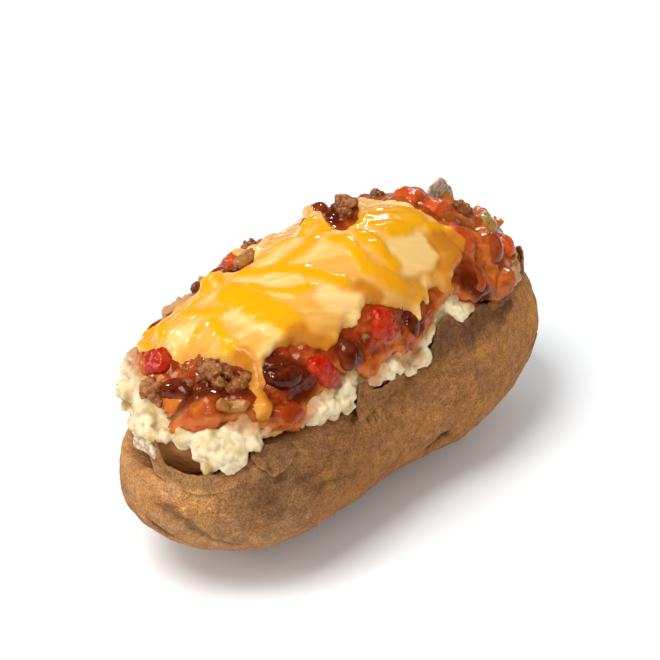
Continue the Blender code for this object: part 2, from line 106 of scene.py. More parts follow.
# Cracks and dents in the skin, painted darker the deeper they are as painted shade in the creases:
# (line of place and turn about the potato's middle, half width, depth)
CRACKS = (
    (((-15, -61), (-17.7, -67), (-17.4, -73)), 0.5, 0.5), (((-14, -61), (-14.8, -68),
      (-14.6, -73)), 0.4, 0.4),
    (((-18, -60), (-21, -65), (-23, -68)), 0.5, 0.4), (((-12, -62), (-12.5, -66)), 0.4, 0.3),
    (((33, -56), (27, -59), (26.4, -63)), 0.5, 0.5), (((51, -92), (60, -94), (63, -96)), 0.5, 0.4),
    (((-74, -143), (-72.5, -145), (-72, -135), (-70.9, -134)), 0.9, 1.2),
    (((-73.6, -74), (-72.6, -88), (-69.6, -103), (-65.2, -114), (-59.7, -116)), 0.7, 0.35),
    (((8.9, -113), (10.9, -109), (13.2, -108)), 1.0, 0.8),
    (((-43, -90), (-38.6, -86), (-30.3, -90), (-23.3, -93)), 0.4, 0.25), (((-30, -90),
      (-22, -107)), 0.4, 0.2),
    (((-46, -78), (-40, -80), (-34, -76)), 0.4, 0.15), (((6, -80), (12, -86), (20, -88)), 0.4, 0.15),
)

# Lighter and darker patches of skin, partly its own patchy colour and, in the darkest ones just below the
# slit on the near side, painted shade under the heap's overhang: place, turn about the potato's middle,
# half length and half width in millimetres, gain
SKIN_SPOTS_AND_SHADE = (
    (-72, -20, 7, 14, 0.05), (-58, -80, 9, 8, -0.42), (-72, -95, 7, 8, -0.1), (-60, -120, 12, 10, -0.16),
    (-46, -95, 10, 9, -0.2), (-26, -74, 12, 6, -0.2), (-48, -70, 9, 7, -0.26), (-36, -104, 7, 6, 0.1),
    (54, -70, 14, 12, 0.18), (68, -80, 8, 16, 0.12), (2, -92, 16, 10, 0.06), (-60, -122, 10, 7, 0.06),
)
# Where the russet net is strong: place, turn, half length and half width in mm
NETTED = (
    (-70, -74, 4.0, 4.5), (-66, -85, 4.0, 3.5), (-18, -68, 2.4, 4.5), (-13.5, -70, 1.8, 4.0),
    (-49, -86, 2.0, 2.4),
)

# Edge of the chilli and of the cheese, as (place along the potato, turn about the heap's axis)
CHILLI_EDGE = (
    (-57, 58), (-61, 44), (-61, 20), (-61.8, -1), (-63, -18), (-65, -30), (-66.6, -40), (-66.8, -48),
    (-65, -54), (-61.6, -57), (-57.8, -60), (-56, -65), (-54, -70), (-51.4, -74), (-48.6, -79),
    (-45.6, -83), (-42.4, -85.5), (-39.4, -85), (-38, -80), (-36.6, -74), (-32.6, -72.5), (-29.6, -73),
    (-28, -75), (-26.4, -71), (-25.2, -67), (-23.6, -70), (-20, -72.5), (-18, -74), (-16.6, -82),
    (-14.8, -86), (-13.4, -82), (-11.6, -76), (-8.6, -75), (-6.8, -73), (-5.6, -77), (-4, -83),
    (-1, -86.5), (2, -87.5), (3.4, -84), (3.8, -78), (7, -77.5), (10, -76.5), (12, -73), (15, -71),
    (18, -69), (20.6, -67), (22.6, -70), (25, -75.5), (27.6, -80), (31, -83), (35, -86), (40, -90),
    (46, -93), (52, -94), (60, -89), (64, -70), (65.5, -40), (66, 0), (65, 40), (60, 62), (50, 67),
    (35, 63), (20, 69), (5, 63), (-10, 69), (-25, 65), (-40, 71), (-47, 70), (-54, 65))
# Lowest flesh that shows on the near side, in the same way
FLESH_EDGE = np.array((
    (-68, -70), (-66, -84), (-64, -97), (-60, -94), (-57.4, -91), (-56.4, -84), (-53, -86), (-50, -80),
    (-46, -84), (-39, -87), (-36, -88), (-32, -91), (-22, -92), (-20.4, -80), (-17, -79), (-16, -86),
    (-10, -88), (-8, -85), (-6, -87), (-3, -90), (0, -97), (2.6, -94), (6, -96), (8.4, -93), (9, -84),
    (11, -80), (14, -75.5), (16.6, -74), (19, -77), (22, -83), (26, -83.5), (28, -80), (34, -85),
    (44, -91), (52, -96), (60, -94), (68, -80)), float)
CHEESE_EDGE = (
    (-42, 64), (-46, 67), (-52, 61), (-55, 48), (-54, 32), (-53, 14), (-50, 4), (-49, -8), (-48.5, -20),
    (-46.8, -30), (-46.6, -38), (-48.6, -50), (-51.2, -58), (-52, -64), (-51.4, -69), (-49.4, -69),
    (-47.6, -62), (-45.6, -52), (-43, -42), (-41, -39), (-37, -38), (-33, -42), (-29, -50), (-26, -56),
    (-22, -53), (-19, -50), (-15, -52), (-12, -47), (-9, -44), (-7, -46), (-4, -51), (-.6, -57), (3, -60),
    (4.5, -69), (6.5, -68), (7.4, -61), (9.6, -60), (10.2, -64), (11.6, -64), (12.4, -57), (16, -58),
    (17.4, -67), (19.6, -68), (20.6, -61), (23, -56.5), (28, -54.5), (32, -52), (33.6, -47), (32.6, -40),
    (32, -32), (31, -22), (32, -10), (31, 1), (29, 10), (29, 24), (33, 38), (33, 50), (26, 54), (23, 40),
    (21, 22), (18, 10), (12, 0), (7, -3), (2.5, -4.5), (3.5, 6), (7, 18), (13, 34), (17, 48), (12, 56),
    (0, 54), (-8, 58), (-14, 50), (-17, 36), (-16.5, 24), (-20, 17), (-24, 21), (-29, 26), (-32, 36),
    (-33, 50), (-38, 58))

# How light or orange a topping is, from 0 to 1
TONES = {
    "bean_1": 0.3, "bean_2": 0.05, "bean_3": 0.5, "bean_4": 0.25, "bean_5": 0.3, "bean_6": 0.8, "bean_7": 0.8,
    "bean_8": 0.85, "bean_9": 0.9, "bean_10": 0.85, "bean_11": 0.7, "tomato_1": 0.15, "tomato_2": 0.15,
    "tomato_3": 0.15, "tomato_4": 0.75, "tomato_5": 0.8, "tomato_6": 0.6, "tomato_7": 0.85, "tomato_8": 0.8,
    "tomato_9": 0.9}
# Toppings that lie deeper in the sauce, and how much in mm
SUNK = (("tomato_7", 1.6), ("bean_3", 0.5), ("bean_9", 0.9), ("tomato_9", 0.5))
# Small bits of mince: place along the potato, turn, how far above the chilli, half its size in mm
MINCE_BITS = (
    (-49.6, -31, 0.8, 2.3), (-53.4, -34, 0.6, 2.0), (-47.6, -40, 0.5, 1.8), (-61.6, 26, 0.4, 1.8),
    (-60.5, 47, 0.5, 2.0), (-56.6, -10, 0.4, 1.8), (-14.5, -58, 0.3, 1.5), (10.4, 6, 0.8, 1.9),
    (16.6, 18, 0.6, 2.0), (49.0, -22, 0.5, 1.8), (57.5, -30, 0.5, 1.6), (40, -34, 0.3, 1.4),
    (3.5, 24, 0.4, 1.7), (26, 60, 0.4, 2.2), (38, 40, 0.4, 2.2), (-24, 60, 0.4, 2.0), (50, 44, 0.4, 1.8),
)

# Larger crumbs at the lips: place along the potato, turn, how far out, half its size in mm
CHUNKS = (
    (-63.4, -76, 3.2, 2.6), (-62.2, -84, 3.6, 2.6), (-61.0, -92, 3.6, 2.4), (-65.0, -86, 3.6, 2.0),
    (-60.0, -98, 2.6, 2.0), (-65.6, -62, 1.6, 2.4), (-64.6, -80, 3.0, 2.4), (-64.4, -68, 2.2, 2.2),
    (-63.6, -96, 3.4, 2.0), (-64.5, -62, 0.5, 2.2), (-64, -72, 0.6, 2.0), (-63.5, -82, 1.0, 2.2),
    (-62.5, -90, 1.6, 2.0), (-61, -76, 1.0, 2.8), (-60.5, -86, 2.0, 2.8), (-59.5, -93, 2.4, 2.2),
    (-58, -72, 0.8, 2.4), (-58, -80, 1.6, 2.6), (-57.6, -88, 2.2, 2.3), (-62, -66, 0.8, 2.6),
    (-58.6, -66, 0.6, 1.8), (-54.6, -80, 1.3, 1.9), (-53.3, -82, 1.4, 1.7), (-50, -76, 0.3, 1.3),
    (-47.5, -80, 0.3, 1.2), (-37, -79, 0.5, 2.0), (-36, -85, 0.8, 1.8), (-33.5, -80, 0.6, 2.2),
    (-32.5, -87, 1.0, 1.9), (-30, -83, 0.8, 2.3), (-28.5, -89, 1.0, 1.9), (-26, -84, 0.8, 2.2),
    (-24.5, -89, 0.9, 1.8), (-22.6, -84, 0.7, 1.8), (-22.4, -90, 0.6, 1.2), (-27, -77, 0.4, 1.8),
    (-23.5, -77, 0.4, 1.6), (-13.5, -83, 0.6, 1.6), (-11.5, -80, 0.4, 1.8), (-9.5, -84, 0.7, 1.8),
    (-7.5, -80, 0.5, 1.8), (-5.5, -84, 0.8, 1.5), (-3, -87, 0.6, 1.6), (-1, -91, 0.8, 1.7),
    (1.2, -94, 0.8, 1.3), (4, -90, 0.8, 2.2), (6.6, -92, 0.9, 1.8), (6, -86, 0.6, 1.9),
    (8.2, -83, 0.5, 1.5), (5.5, -80, 0.4, 1.6), (10.4, -78, 0.4, 1.2), (12.6, -75, 0.3, 1.1),
    (19, -73, 0.4, 1.5), (20.4, -77, 0.6, 1.8), (23.5, -79, 0.6, 1.9), (26, -80, 0.5, 1.4),
    (22, -72, 0.4, 1.5), (-68.5, 44, 0.6, 2.2), (-67, 60, 1.2, 2.6), (-66, 76, 1.2, 2.2),
    (-62, 68, 1.8, 2.8), (-58.5, 76, 1.0, 2.2), (-56, 68, 1.6, 2.6), (-51, 74, 1.2, 2.4),
    (-66.5, 30, 0.8, 2.2), (-68, 12, 0.6, 2.0), (-67.5, -20, 0.4, 2.0), (-67, -44, 0.4, 2.0),
    (-31, 64, 1.8, 2.2), (-28, 60, 1.8, 1.9), (-18, 68, 1.2, 2.2), (-5, 64, 1.6, 2.2), (-2, 66, 1.2, 1.8),
)

# Cheese that melted in two colours: (line of places, half width in mm)
YELLOW_LINES = (
    (((-43, 30), (-41, 10), (-39, 2)), 1.5),
    (((-42.5, 3), (-44, -5), (-45, -13), (-46, -21)), 1.6),
    (((-39, 28), (-34.7, 29), (-30.6, 22)), 1.3),
    (((-26.4, 12.5), (-24, 4), (-20, -5), (-17, -15), (-14.7, -24), (-12.7, -30)), 1.9),
    (((-29.3, -2), (-27.3, -13), (-24.3, -20), (-20, -22.5)), 1.6),
    (((-20, -2), (-10, -2), (-3.3, 3), (1, 5)), 1.4),
    (((-3.5, 2), (3, -1), (6, -8), (12, -8), (19, -5)), 1.8),
    (((-3.3, -8), (-1.7, -15), (-3.3, -23), (-4.2, -30), (-2, -35), (0, -42.5), (3.3, -51), (6.7, -56),
      (10, -58)), 2.0),
    (((3.4, -14), (3.6, -24), (4, -36)), 2.4),
    (((12, -14), (18, -16), (25, -15)), 4.0),
    (((12, -22), (18, -23), (25, -22)), 2.4),
    (((25, -30), (31, -36)), 2.4),
    (((-49, 36), (-45, 44), (-44, 56)), 2.2),
    (((-53, 42), (-50.5, 54), (-45, 63)), 1.3),
    (((-47, 8), (-46.4, 8.2)), 1.6),
    (((-13, 13), (-8, 12), (-1, 13)), 1.7),
    (((20, 22), (26, 40), (31, 56)), 1.8),
    (((-36, 50), (-38, 38)), 1.5),
    (((-10, 28), (-6, 40), (2, 52)), 1.8),
    (((-34, 7), (-33.6, -6), (-33, -20)), 4.0),
    (((-32.6, -22), (-32, -32)), 4.2),
)
CREAM_LINES = (
    (((-38.4, -4), (-37.4, -14), (-36.8, -25)), 1.9),
    (((-37, 23), (-34, 12)), 1.3),
    (((-28.5, 10), (-26.4, -2), (-24.3, -9), (-21, -18), (-16, -23)), 1.3),
    (((-17, -5), (-5, -6.7), (0, -5), (5, -9), (10.4, -11.7), (17.5, -16)), 1.3),
    (((-18, -34), (-15, -40), (-14, -46)), 3.6),
    (((9, -36), (16, -38)), 5.4),
    (((24, 8), (29, 0), (29, -10)), 3.6),
    (((-41, -35), (-36.4, -34)), 1.4),
    (((5.4, -60), (5.4, -69)), 1.4),
    (((10.8, -51), (11, -66)), 1.2),
    (((-50, 26), (-47, 14)), 2.2),
    (((-22, 6), (-12, 6), (-6, 8)), 1.6),
    (((-24, 24), (-10, 20), (2, 18)), 2.0),
)
# Where the chilli is coloured darker, in the same way
DARK_LINES = (
    (((-60, -26), (-54, -34), (-49, -44)), 4.5), (((-41, -44), (-38, -56), (-36, -64)), 4.5),
    (((-22, -58), (-19, -64)), 3.0), (((1, -60), (3, -66), (5, -70)), 2.6), (((28, -66), (31, -76),
      (34, -82)), 3.0),
    (((8, 12), (11, 16)), 4.0), (((-30, 16), (-24, 26)), 3.0),
)
# Amber cheese, partly run thin over the chilli and partly painted shade on the heap's near side, in the same
# way
AMBER_AND_SHADE_LINES = (
    (((-45, -26), (-45.6, -38), (-47.2, -51), (-49.6, -61), (-50.6, -69)), 2.0),
    (((24, -40), (31, -46)), 4.0),
    (((20, -52), (30, -52)), 2.6),
    (((18.8, -59), (18.8, -69)), 1.6),
    (((-32, -40), (-30, -48), (-26, -54)), 3.4),
    (((-9, -36), (-6, -44)), 2.2),
)
# Creases at the dome's edge, dented and painted darker as painted shadow: (line of places, half width in mm)
CREASES = (
    (((15, -53), (18, -52), (21, -48), (22, -42), (21.5, -34)), 0.7),
    (((6, -47), (10, -50)), 0.9),
)


# How thin the chilli is: place along the potato, thinness from 0 to 1
CHILLI_THIN = np.array((
    (-66, 0.4), (-61, 0.15), (-56, 0), (-8, 0), (5, 0.2), (30, 0.25), (40, 0.6)), float)
OVERHANG = 0.9                  # millimetres that a sheet runs on past its edge, tucked under
CORE_HEIGHT = 30                # height of the potato's middle, in millimetres
LIP_HEIGHT = 46.0               # height that the torn strips lean away from
POCKET_TOP = 47.5               # top of the hollow pocket at the left end
CHILLI_WALL, CHEESE_WALL = 0.9, 0.8     # how thick the sheets are, in millimetres
STRIP_COLUMNS, STRIP_ROWS = 6, 9        # faces of a torn strip for each stretch of its edge, and rows up it
WELD = 0.00001                  # doubled points this near each other are merged, in metres
# Spacing of the fused surfaces, in metres
FLESH_GRAIN, TOPPING_GRAIN, MINCE_GRAIN = 0.00056, 0.0004, 0.0003
DROWNED = ("tomato_7", "bean_3", "bean_9")      # toppings that the sauce closes over
# How far the left onion strip has slid along the potato and in turn, and the far left mince has slipped
ONION_SLIDE, MINCE_SLIP = (-5.0, 8.0), np.array((1.5, -3.0, 0.2))

# The view, in degrees, metres and, for the lens, millimetres
CAMERA_TURN, CAMERA_HEIGHT, CAMERA_DISTANCE, CAMERA_LENS = -48.0, 33.0, 0.8, 156.7
LOOKED_AT = Vector((0.0114, 0.0095, 0.0372))
LIT_MIDDLE = Vector((0, 0, 0.04))
SKY_COLOUR, SKY_STRENGTH = (0.92, 0.97, 1.0, 1), 0.6
# Soft lights: name, place, size, power (the key's is a setting), whether it only glints
LIGHTS = (
    ("key", (-0.5, 0.02, 1.1), 0.55, None, False), ("side", (-0.95, 0.35, 0.55), 0.25, 1.6, False),
    ("back", (0.2, 0.95, 0.7), 0.4, 1.0, False), ("fill", (-0.75, -0.95, 0.75), 0.4, 2.6, False),
    ("glint_left", (-0.35, 0.95, 0.62), 0.09, 4.5, True), ("glint_right", (0.9, 0.5, 0.7), 0.09, 4.5, True),
    ("glint_front", (-0.9, -0.45, 0.8), 0.07, 3.0, True))


# ---- small helpers ------------------------------------------------------------------
def linear(text):
    """An sRGB hex colour as linear red, green, blue and alpha."""
    parts = [int(text[i:i + 2], 16) / 255 for i in (1, 3, 5)]
    return (*((c / 12.92 if c <= 0.04045 else ((c + 0.055) / 1.055) ** 2.4) for c in parts), 1.0)


def colour_property(name, description, text):
    return bpy.props.FloatVectorProperty(
        name=name, description=description, subtype="COLOR", size=4, min=0.0, max=1.0, default=linear(text))


def add(tree, kind, sockets=None, ramp=None, out=0, **settings):
    """Adds a node, sets its settings, sets or links its sockets, and gives the output that is used."""
    node = tree.nodes.new("ShaderNode" + kind)
    for key, value in settings.items():
        setattr(node, key, value)
    for key, value in (sockets or {}).items():
        if isinstance(value, bpy.types.NodeSocket):
            tree.links.new(value, node.inputs[key])
        else:
            node.inputs[key].default_value = value
    if ramp:
        while len(node.color_ramp.elements) < len(ramp):
            node.color_ramp.elements.new(0.5)
        for element, (place, colour) in zip(node.color_ramp.elements, ramp):
            element.position, element.color = place, colour
    return node.outputs[out] if node.outputs else None


def new_material(name):
    """An empty material: its tree and its object coordinates."""
    material = bpy.data.materials.new(name)
    material.use_nodes = True
    tree = material.node_tree
    tree.nodes.clear()
    return material, tree, add(tree, "TexCoord", out="Object")


def choose(piece):
    """Makes one piece the only selected one."""
    if bpy.context.object and bpy.context.object.mode != "OBJECT":
        bpy.ops.object.mode_set(mode="OBJECT")
    bpy.ops.object.select_all(action="DESELECT")
    bpy.context.view_layer.objects.active = piece
    piece.select_set(True)


def apply(piece, kind, **settings):
    """Adds a modifier to a piece and applies it."""
    choose(piece)
    modifier = piece.modifiers.new(kind.title(), kind)
    for key, value in settings.items():
        setattr(modifier, key, value)
    bpy.ops.object.modifier_apply(modifier=modifier.name)


def copy_of(name, *nodes):
    """One piece from copies of CAD nodes' meshes, with their loose triangles merged."""
    pieces = []
    for node in nodes:
        piece = bpy.data.objects.new(name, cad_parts[node].data.copy())
        bpy.context.scene.collection.objects.link(piece)
        pieces.append(piece)
    piece = join(name, pieces)
    edit(piece, remove_doubles={"threshold": WELD}, tris_convert_to_quads={})
    return piece


def edit(piece, **steps):
    """Runs mesh operators, each with its settings, in edit mode on the whole of a piece."""
    choose(piece)
    bpy.ops.object.mode_set(mode="EDIT")
    bpy.ops.mesh.select_all(action="SELECT")
    for step, settings in steps.items():
        getattr(bpy.ops.mesh, step)(**settings)
    bpy.ops.object.mode_set(mode="OBJECT")


def join(name, pieces):
    choose(pieces[0])
    for piece in pieces[1:]:
        piece.select_set(True)
    if len(pieces) > 1:
        bpy.ops.object.join()
    pieces[0].name = name
    pieces[0].data.name = name
    return pieces[0]


def points_of(piece):
    """A piece's points in millimetres."""
    points = np.empty(len(piece.data.vertices) * 3)
    piece.data.vertices.foreach_get("co", points)
    return points.reshape(-1, 3) / MM


def normals_of(piece):
    normals = np.empty(len(piece.data.vertices) * 3)
    piece.data.vertex_normals.foreach_get("vector", normals)
    return normals.reshape(-1, 3)


def put_points(piece, points):
    piece.data.vertices.foreach_set("co", (points * MM).ravel())
    piece.data.update()


def put_values(piece, name, values):
    """Keeps one number for each point, for the piece's material."""
    layer = piece.data.attributes.get(name) or piece.data.attributes.new(name, "FLOAT", "POINT")
    layer.data.foreach_set("value", np.clip(values, 0, 1).astype(np.float32))


def fused(piece, voxel, soften, rounds):
    """Melts a piece's parts into one even mesh, softens it, and gives its points and normals."""
    apply(piece, "REMESH", mode="VOXEL", voxel_size=voxel)
    apply(piece, "SMOOTH", factor=soften, iterations=rounds)
    return points_of(piece), normals_of(piece)


def master_of(primitive, levels, **settings):
    """The points and faces of a primitive, for a shape that is repeated; the primitive itself is removed."""
    bpy.ops.object.select_all(action="DESELECT")
    getattr(bpy.ops.mesh, primitive)(**settings)
    master = bpy.context.object
    if levels:
        apply(master, "SUBSURF", levels=levels, render_levels=levels, subdivision_type="SIMPLE")
    shape, faces = points_of(master) * MM, [tuple(polygon.vertices) for polygon in master.data.polygons]
    bpy.data.objects.remove(master)
    return shape, faces


def massed(name, blobs, faces):
    """One piece from blobs, in millimetres, that all have the same faces."""
    mesh = bpy.data.meshes.new(name)
    polygons = [[k * len(blobs[0]) + v for v in face] for k in range(len(blobs)) for face in faces]
    mesh.from_pydata((np.concatenate(blobs) * MM).tolist(), [], polygons)
    piece = bpy.data.objects.new(name, mesh)
    bpy.context.scene.collection.objects.link(piece)
    return piece


def grid_of(columns, rows):
    """A flat grid to bend into shape, with each point's column and its height between 0 and 1."""
    bpy.ops.object.select_all(action="DESELECT")
    bpy.ops.mesh.primitive_grid_add(x_subdivisions=columns - 1, y_subdivisions=rows - 1, size=1)
    piece = bpy.context.object
    flat = points_of(piece) * MM + 0.5
    return piece, np.rint(flat[:, 0] * (columns - 1)).astype(int), flat[:, 1]


def spun(rng):
    """A random turn about a random line."""
    return np.array(Matrix.Rotation(rng.uniform(0, 6.28), 3, Vector(rng.normal(size=3))))


def box_of(node):
    """The two corners of a CAD node's box, in millimetres."""
    return [np.array(corner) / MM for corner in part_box(node)]


def near_node(points, node):
    """Which points lie in a CAD node's box, or within 0.6 mm of it."""
    low, high = box_of(node)
    return ((points > low - 0.6) & (points < high + 0.6)).all(1)


def along(table, x):
    """The columns of a table at places along the potato."""
    return [np.interp(x, table[:, 0], column) for column in table.T[1:]]


def places_over(x, turn):
    """A grid of flat places, in millimetres, from rows of places and turns."""
    return np.stack(np.meshgrid(x, turn * DEGREE, indexing="ij"), axis=-1)


def unevenness(points, size, seed, detail=3):
    """Smooth noise between about -1 and 1 with lumps of a size in millimetres, one value a point."""
    shift = Vector((seed * 7.3, seed * 3.1, seed * 5.7))
    return np.array([noise.fractal(Vector(p) / size + shift, 1.0, 2.0, detail) for p in points])


def strip_of(edge, root, wall, dark, cork, seed):
    """A torn strip of skin between its root and its free edge, thin and curled a little outwards."""
    count = STRIP_COLUMNS * (len(edge) - 1) + 1
    at = np.linspace(0, len(edge) - 1, count)
    edge, root = (np.stack([np.interp(at, range(len(line)), np.array(line)[:, k]) for k in range(3)], -1)
                  for line in (edge, root))
    piece, i, t = grid_of(count, STRIP_ROWS)
    t = t[:, None]
    outward = root - np.array((0.0, 0.0, LIP_HEIGHT))
    outward[:, 2] *= 0.2
    outward[:, 0] *= 0.3
    outward /= np.linalg.norm(outward, axis=1)[:, None]
    bulge = (0.9 * t * (1 - t) * 2 + 0.5 * t ** 3) * outward[i]
    points = root[i] * (1 - t) + edge[i] * t + bulge - 0.5 * (1 - t) * outward[i]
    ragged = (unevenness(points, 3.2, seed, 3) + 0.5 * unevenness(points, 1.3, seed + 9, 2))[:, None]
    ragged *= 1 - 0.6 * cork
    points += t ** 2 * ragged * (0.25 * outward[i] + np.array((0, 0, 1.3))) + 0.3 * ragged * outward[i]
    put_points(piece, points)
    put_values(piece, "rim", soft_step(t[:, 0], 0.84, 0.98))
    # A strip that hangs is dark all over; one that stands up fades into the skin at its root
    hangs = edge[:, 2].mean() < root[:, 2].mean()
    fade = 1.0 if hangs else 0.1 + 0.9 * soft_step(t[:, 0] + 0.15 * ragged[:, 0], 0.0, 0.5)
    put_values(piece, "strip", dark * fade * np.ones(len(points)))
    piece.data.update()
    if ((normals_of(piece) * outward[i]).sum(1)).mean() < 0:
        edit(piece, flip_normals={})
    apply(piece, "SOLIDIFY", thickness=wall * MM, offset=-1.0)
    apply(piece, "SUBSURF", levels=1, render_levels=1)
    put_values(piece, "cork", np.full(len(piece.data.vertices), cork))
    put_values(piece, "tone", np.full(len(piece.data.vertices), 0.5))
    return piece


def spot(places, x, turn, long, wide):
    """A soft oval spot on the skin, 1 in its middle."""
    return np.exp(-((places[:, 0] - x) / long) ** 2 - ((places[:, 1] - turn * DEGREE) / wide) ** 2)


def settle(piece, nodes, material):
    """Finishes a piece: its material, smooth shading, the CAD nodes it takes the place of hidden, and the
    body it rides on.
    """
    piece.data.materials.clear()
    piece.data.materials.append(material)
    piece.data.shade_smooth()
    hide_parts(*nodes)
    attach(piece, "root")


def tree_of(nodes):
    """A search tree over CAD nodes, in millimetres."""
    points, faces = [], []
    for node in nodes:
        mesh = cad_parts[node].data
        base = len(points)
        points += [v.co / MM for v in mesh.vertices]
        faces += [[base + i for i in polygon.vertices] for polygon in mesh.polygons]
    return BVHTree.FromPolygons(points, faces)


def nodes_like(start):
    return sorted(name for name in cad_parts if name.startswith(start))


TOPPINGS = [name for kind in ("bean", "tomato", "mince", "onion", "pepper") for name in nodes_like(kind)]


class Heap:
    """Heights of the layers over a grid of places along the heap and turns about its axis."""

    def __init__(self, step=0.5, turn_step=1.0):
        self.x = np.arange(-69.5, 68.6, step)
        self.turn = np.arange(-112.0, 100.1, turn_step)
        self.step = step, turn_step * DEGREE
        self.middle, self.foot = along(AXIS, self.x)
        self.flesh = self.measure(["fluffed_flesh"])
        self.jacket = self.measure(["potato_jacket"])
        self.core = np.maximum(self.flesh, self.jacket)
        self.chilli = self.measure(["chilli_sauce"])
        self.cheese = self.measure(["melted_cheese"])
        self.chunks = self.measure(TOPPINGS)
        self.sauce = None

    def laid(self):
        """The heights of the chilli, which has to be added before what lies on it."""
        if self.sauce is None:
            raise RuntimeError("The chilli has to be added first")
        return self.sauce

    def measure(self, nodes):
        """The height of CAD nodes above the axis, by rays cast inwards; 0 where they aren't hit."""
        tree = tree_of(nodes)
        found = np.zeros((len(self.x), len(self.turn)))
        for j, turn in enumerate(np.radians(self.turn)):
            out = Vector((0, math.sin(turn), math.cos(turn)))
            for i, x in enumerate(self.x):
                hit = tree.ray_cast(Vector((x, self.middle[i], self.foot[i])) + out * 50, -out, 50)
                found[i, j] = 0 if hit[0] is None else 50 - hit[3]
        return found

    def shifted(self, field, axis, reach):
        """Copies of a field moved along one axis by up to a reach each way, with its edges repeated."""
        padded = np.pad(field, [(reach, reach) if k == axis else (0, 0) for k in (0, 1)], mode="edge")
        return (np.take(padded, range(k, k + field.shape[axis]), axis) for k in range(2 * reach + 1))

    def blur(self, field, size):
        """Softens a field over a size in millimetres."""
        for axis in (0, 1):
            reach = int(math.ceil(2.5 * size / self.step[axis]))
            weights = np.exp(-0.5 * (np.arange(-reach, reach + 1) * self.step[axis] / size) ** 2)
            weights /= weights.sum()
            field = sum(w * moved for w, moved in zip(weights, self.shifted(field, axis, reach)))
        return field

    def widen(self, field, size):
        """The highest value within a size in millimetres."""
        for axis in (0, 1):
            field = np.max(list(self.shifted(field, axis, int(round(size / self.step[axis])))), axis=0)
        return field

    def close(self, field, size):
        """Fills pits narrower than twice a size."""
        return -self.widen(-self.widen(field, size), size)

    def read(self, field, x, turn):
        """A field's value at places, in between its own."""
        a = np.clip((x - self.x[0]) / self.step[0], 0, len(self.x) - 1.001)
        b = np.clip((turn - self.turn[0]) * DEGREE / self.step[1], 0, len(self.turn) - 1.001)
        i, j = a.astype(int), b.astype(int)
        a, b = a - i, b - j
        return ((field[i, j] * (1 - a) + field[i + 1, j] * a) * (1 - b)
                + (field[i, j + 1] * (1 - a) + field[i + 1, j + 1] * a) * b)

    def height(self, field, x, turn):
        """A field's value at one place."""
        return float(self.read(field, np.array([x]), np.array([turn]))[0])

    def around(self, points):
        """Place along the heap, turn about its axis and distance from it, of points in millimetres."""
        middle, foot = along(AXIS, points[:, 0])
        y, z = points[:, 1] - middle, points[:, 2] - foot
        return points[:, 0], np.degrees(np.arctan2(y, z)), np.hypot(y, z)

    def point(self, x, turn, radius):
        """The reverse of around."""
        angle = np.radians(turn)
        middle, foot = along(AXIS, x)
        return np.stack([x, middle + radius * np.sin(angle), foot + radius * np.cos(angle)], axis=-1)


def distance_to(places, line, closed=False):
    """Distance in millimetres from flat places to a line of (place, turn)."""
    line = np.array(line, float) * (1, DEGREE)
    ends = np.roll(line, -1, 0) if closed else line[1:]
    nearest = np.full(places.shape[:-1], 1e9)
    for a, b in zip(line, ends):
        along = b - a
        t = np.clip(((places - a) @ along) / (along @ along), 0, 1)
        nearest = np.minimum(nearest, np.linalg.norm(places - a - t[..., None] * along, axis=-1))
    return nearest


def depth_inside(places, edge):
    """Distance from an edge, positive inside it."""
    corners = np.array(edge, float) * (1, DEGREE)
    inside = np.zeros(places.shape[:-1], bool)
    for a, b in zip(corners, np.roll(corners, -1, 0)):
        crosses = (a[1] > places[..., 1]) != (b[1] > places[..., 1])
        slope = (b[0] - a[0]) / (b[1] - a[1] if b[1] != a[1] else 1e-9)
        inside ^= crosses & (places[..., 0] < a[0] + (places[..., 1] - a[1]) * slope)
    return np.where(inside, 1, -1) * distance_to(places, edge, True)


def hollows(piece, rounds, depth):
    """How deep each point lies in a hollow, 0.5 on even ground, against its smoothed neighbours."""
    points, normals = points_of(piece), normals_of(piece)
    ends = np.empty(len(piece.data.edges) * 2, int)
    piece.data.edges.foreach_get("vertices", ends)
    a, b = ends.reshape(-1, 2).T
    count = np.bincount(np.concatenate([a, b]), minlength=len(points))[:, None]
    smooth = points
    for _ in range(rounds):
        smooth = np.stack([np.bincount(a, column[b], len(points)) + np.bincount(b, column[a], len(points))
                           for column in smooth.T], axis=-1) / count
    return 0.5 + ((smooth - points) * normals).sum(1) / (2 * depth)


def soft_step(value, low, high):
    t = np.clip((value - low) / (high - low), 0, 1)
    return t * t * (3 - 2 * t)


def warped(places, size, reach, seed):
    """Places shifted by smooth noise, so that edges and lines waver."""
    flat = places.reshape(-1, 2)
    solid = np.column_stack([flat, np.full(len(flat), seed * 3.0)])
    shift = np.column_stack([unevenness(solid, size, seed, 2), unevenness(solid, size, seed + 9, 2)])
    return (flat + reach * shift).reshape(places.shape)


def strokes(places, lines, soft=1.0):
    """How much any of the lines covers each place, from 0 to 1."""
    cover = np.zeros(places.shape[:-1])
    for line, half in lines:
        cover = np.maximum(cover, 1 - soft_step(distance_to(places, line), half - soft, half + soft))
    return cover


def rim_of(depth, width):
    """How a sheet's height changes towards its edge: rounded inside it, tucked under past it."""
    edge = np.clip(depth / width, -1, 1)
    return np.where(edge > 0, np.sqrt(1 - (1 - edge) ** 2) - 1, edge * 2 - 1) * 1.3


heap = Heap()


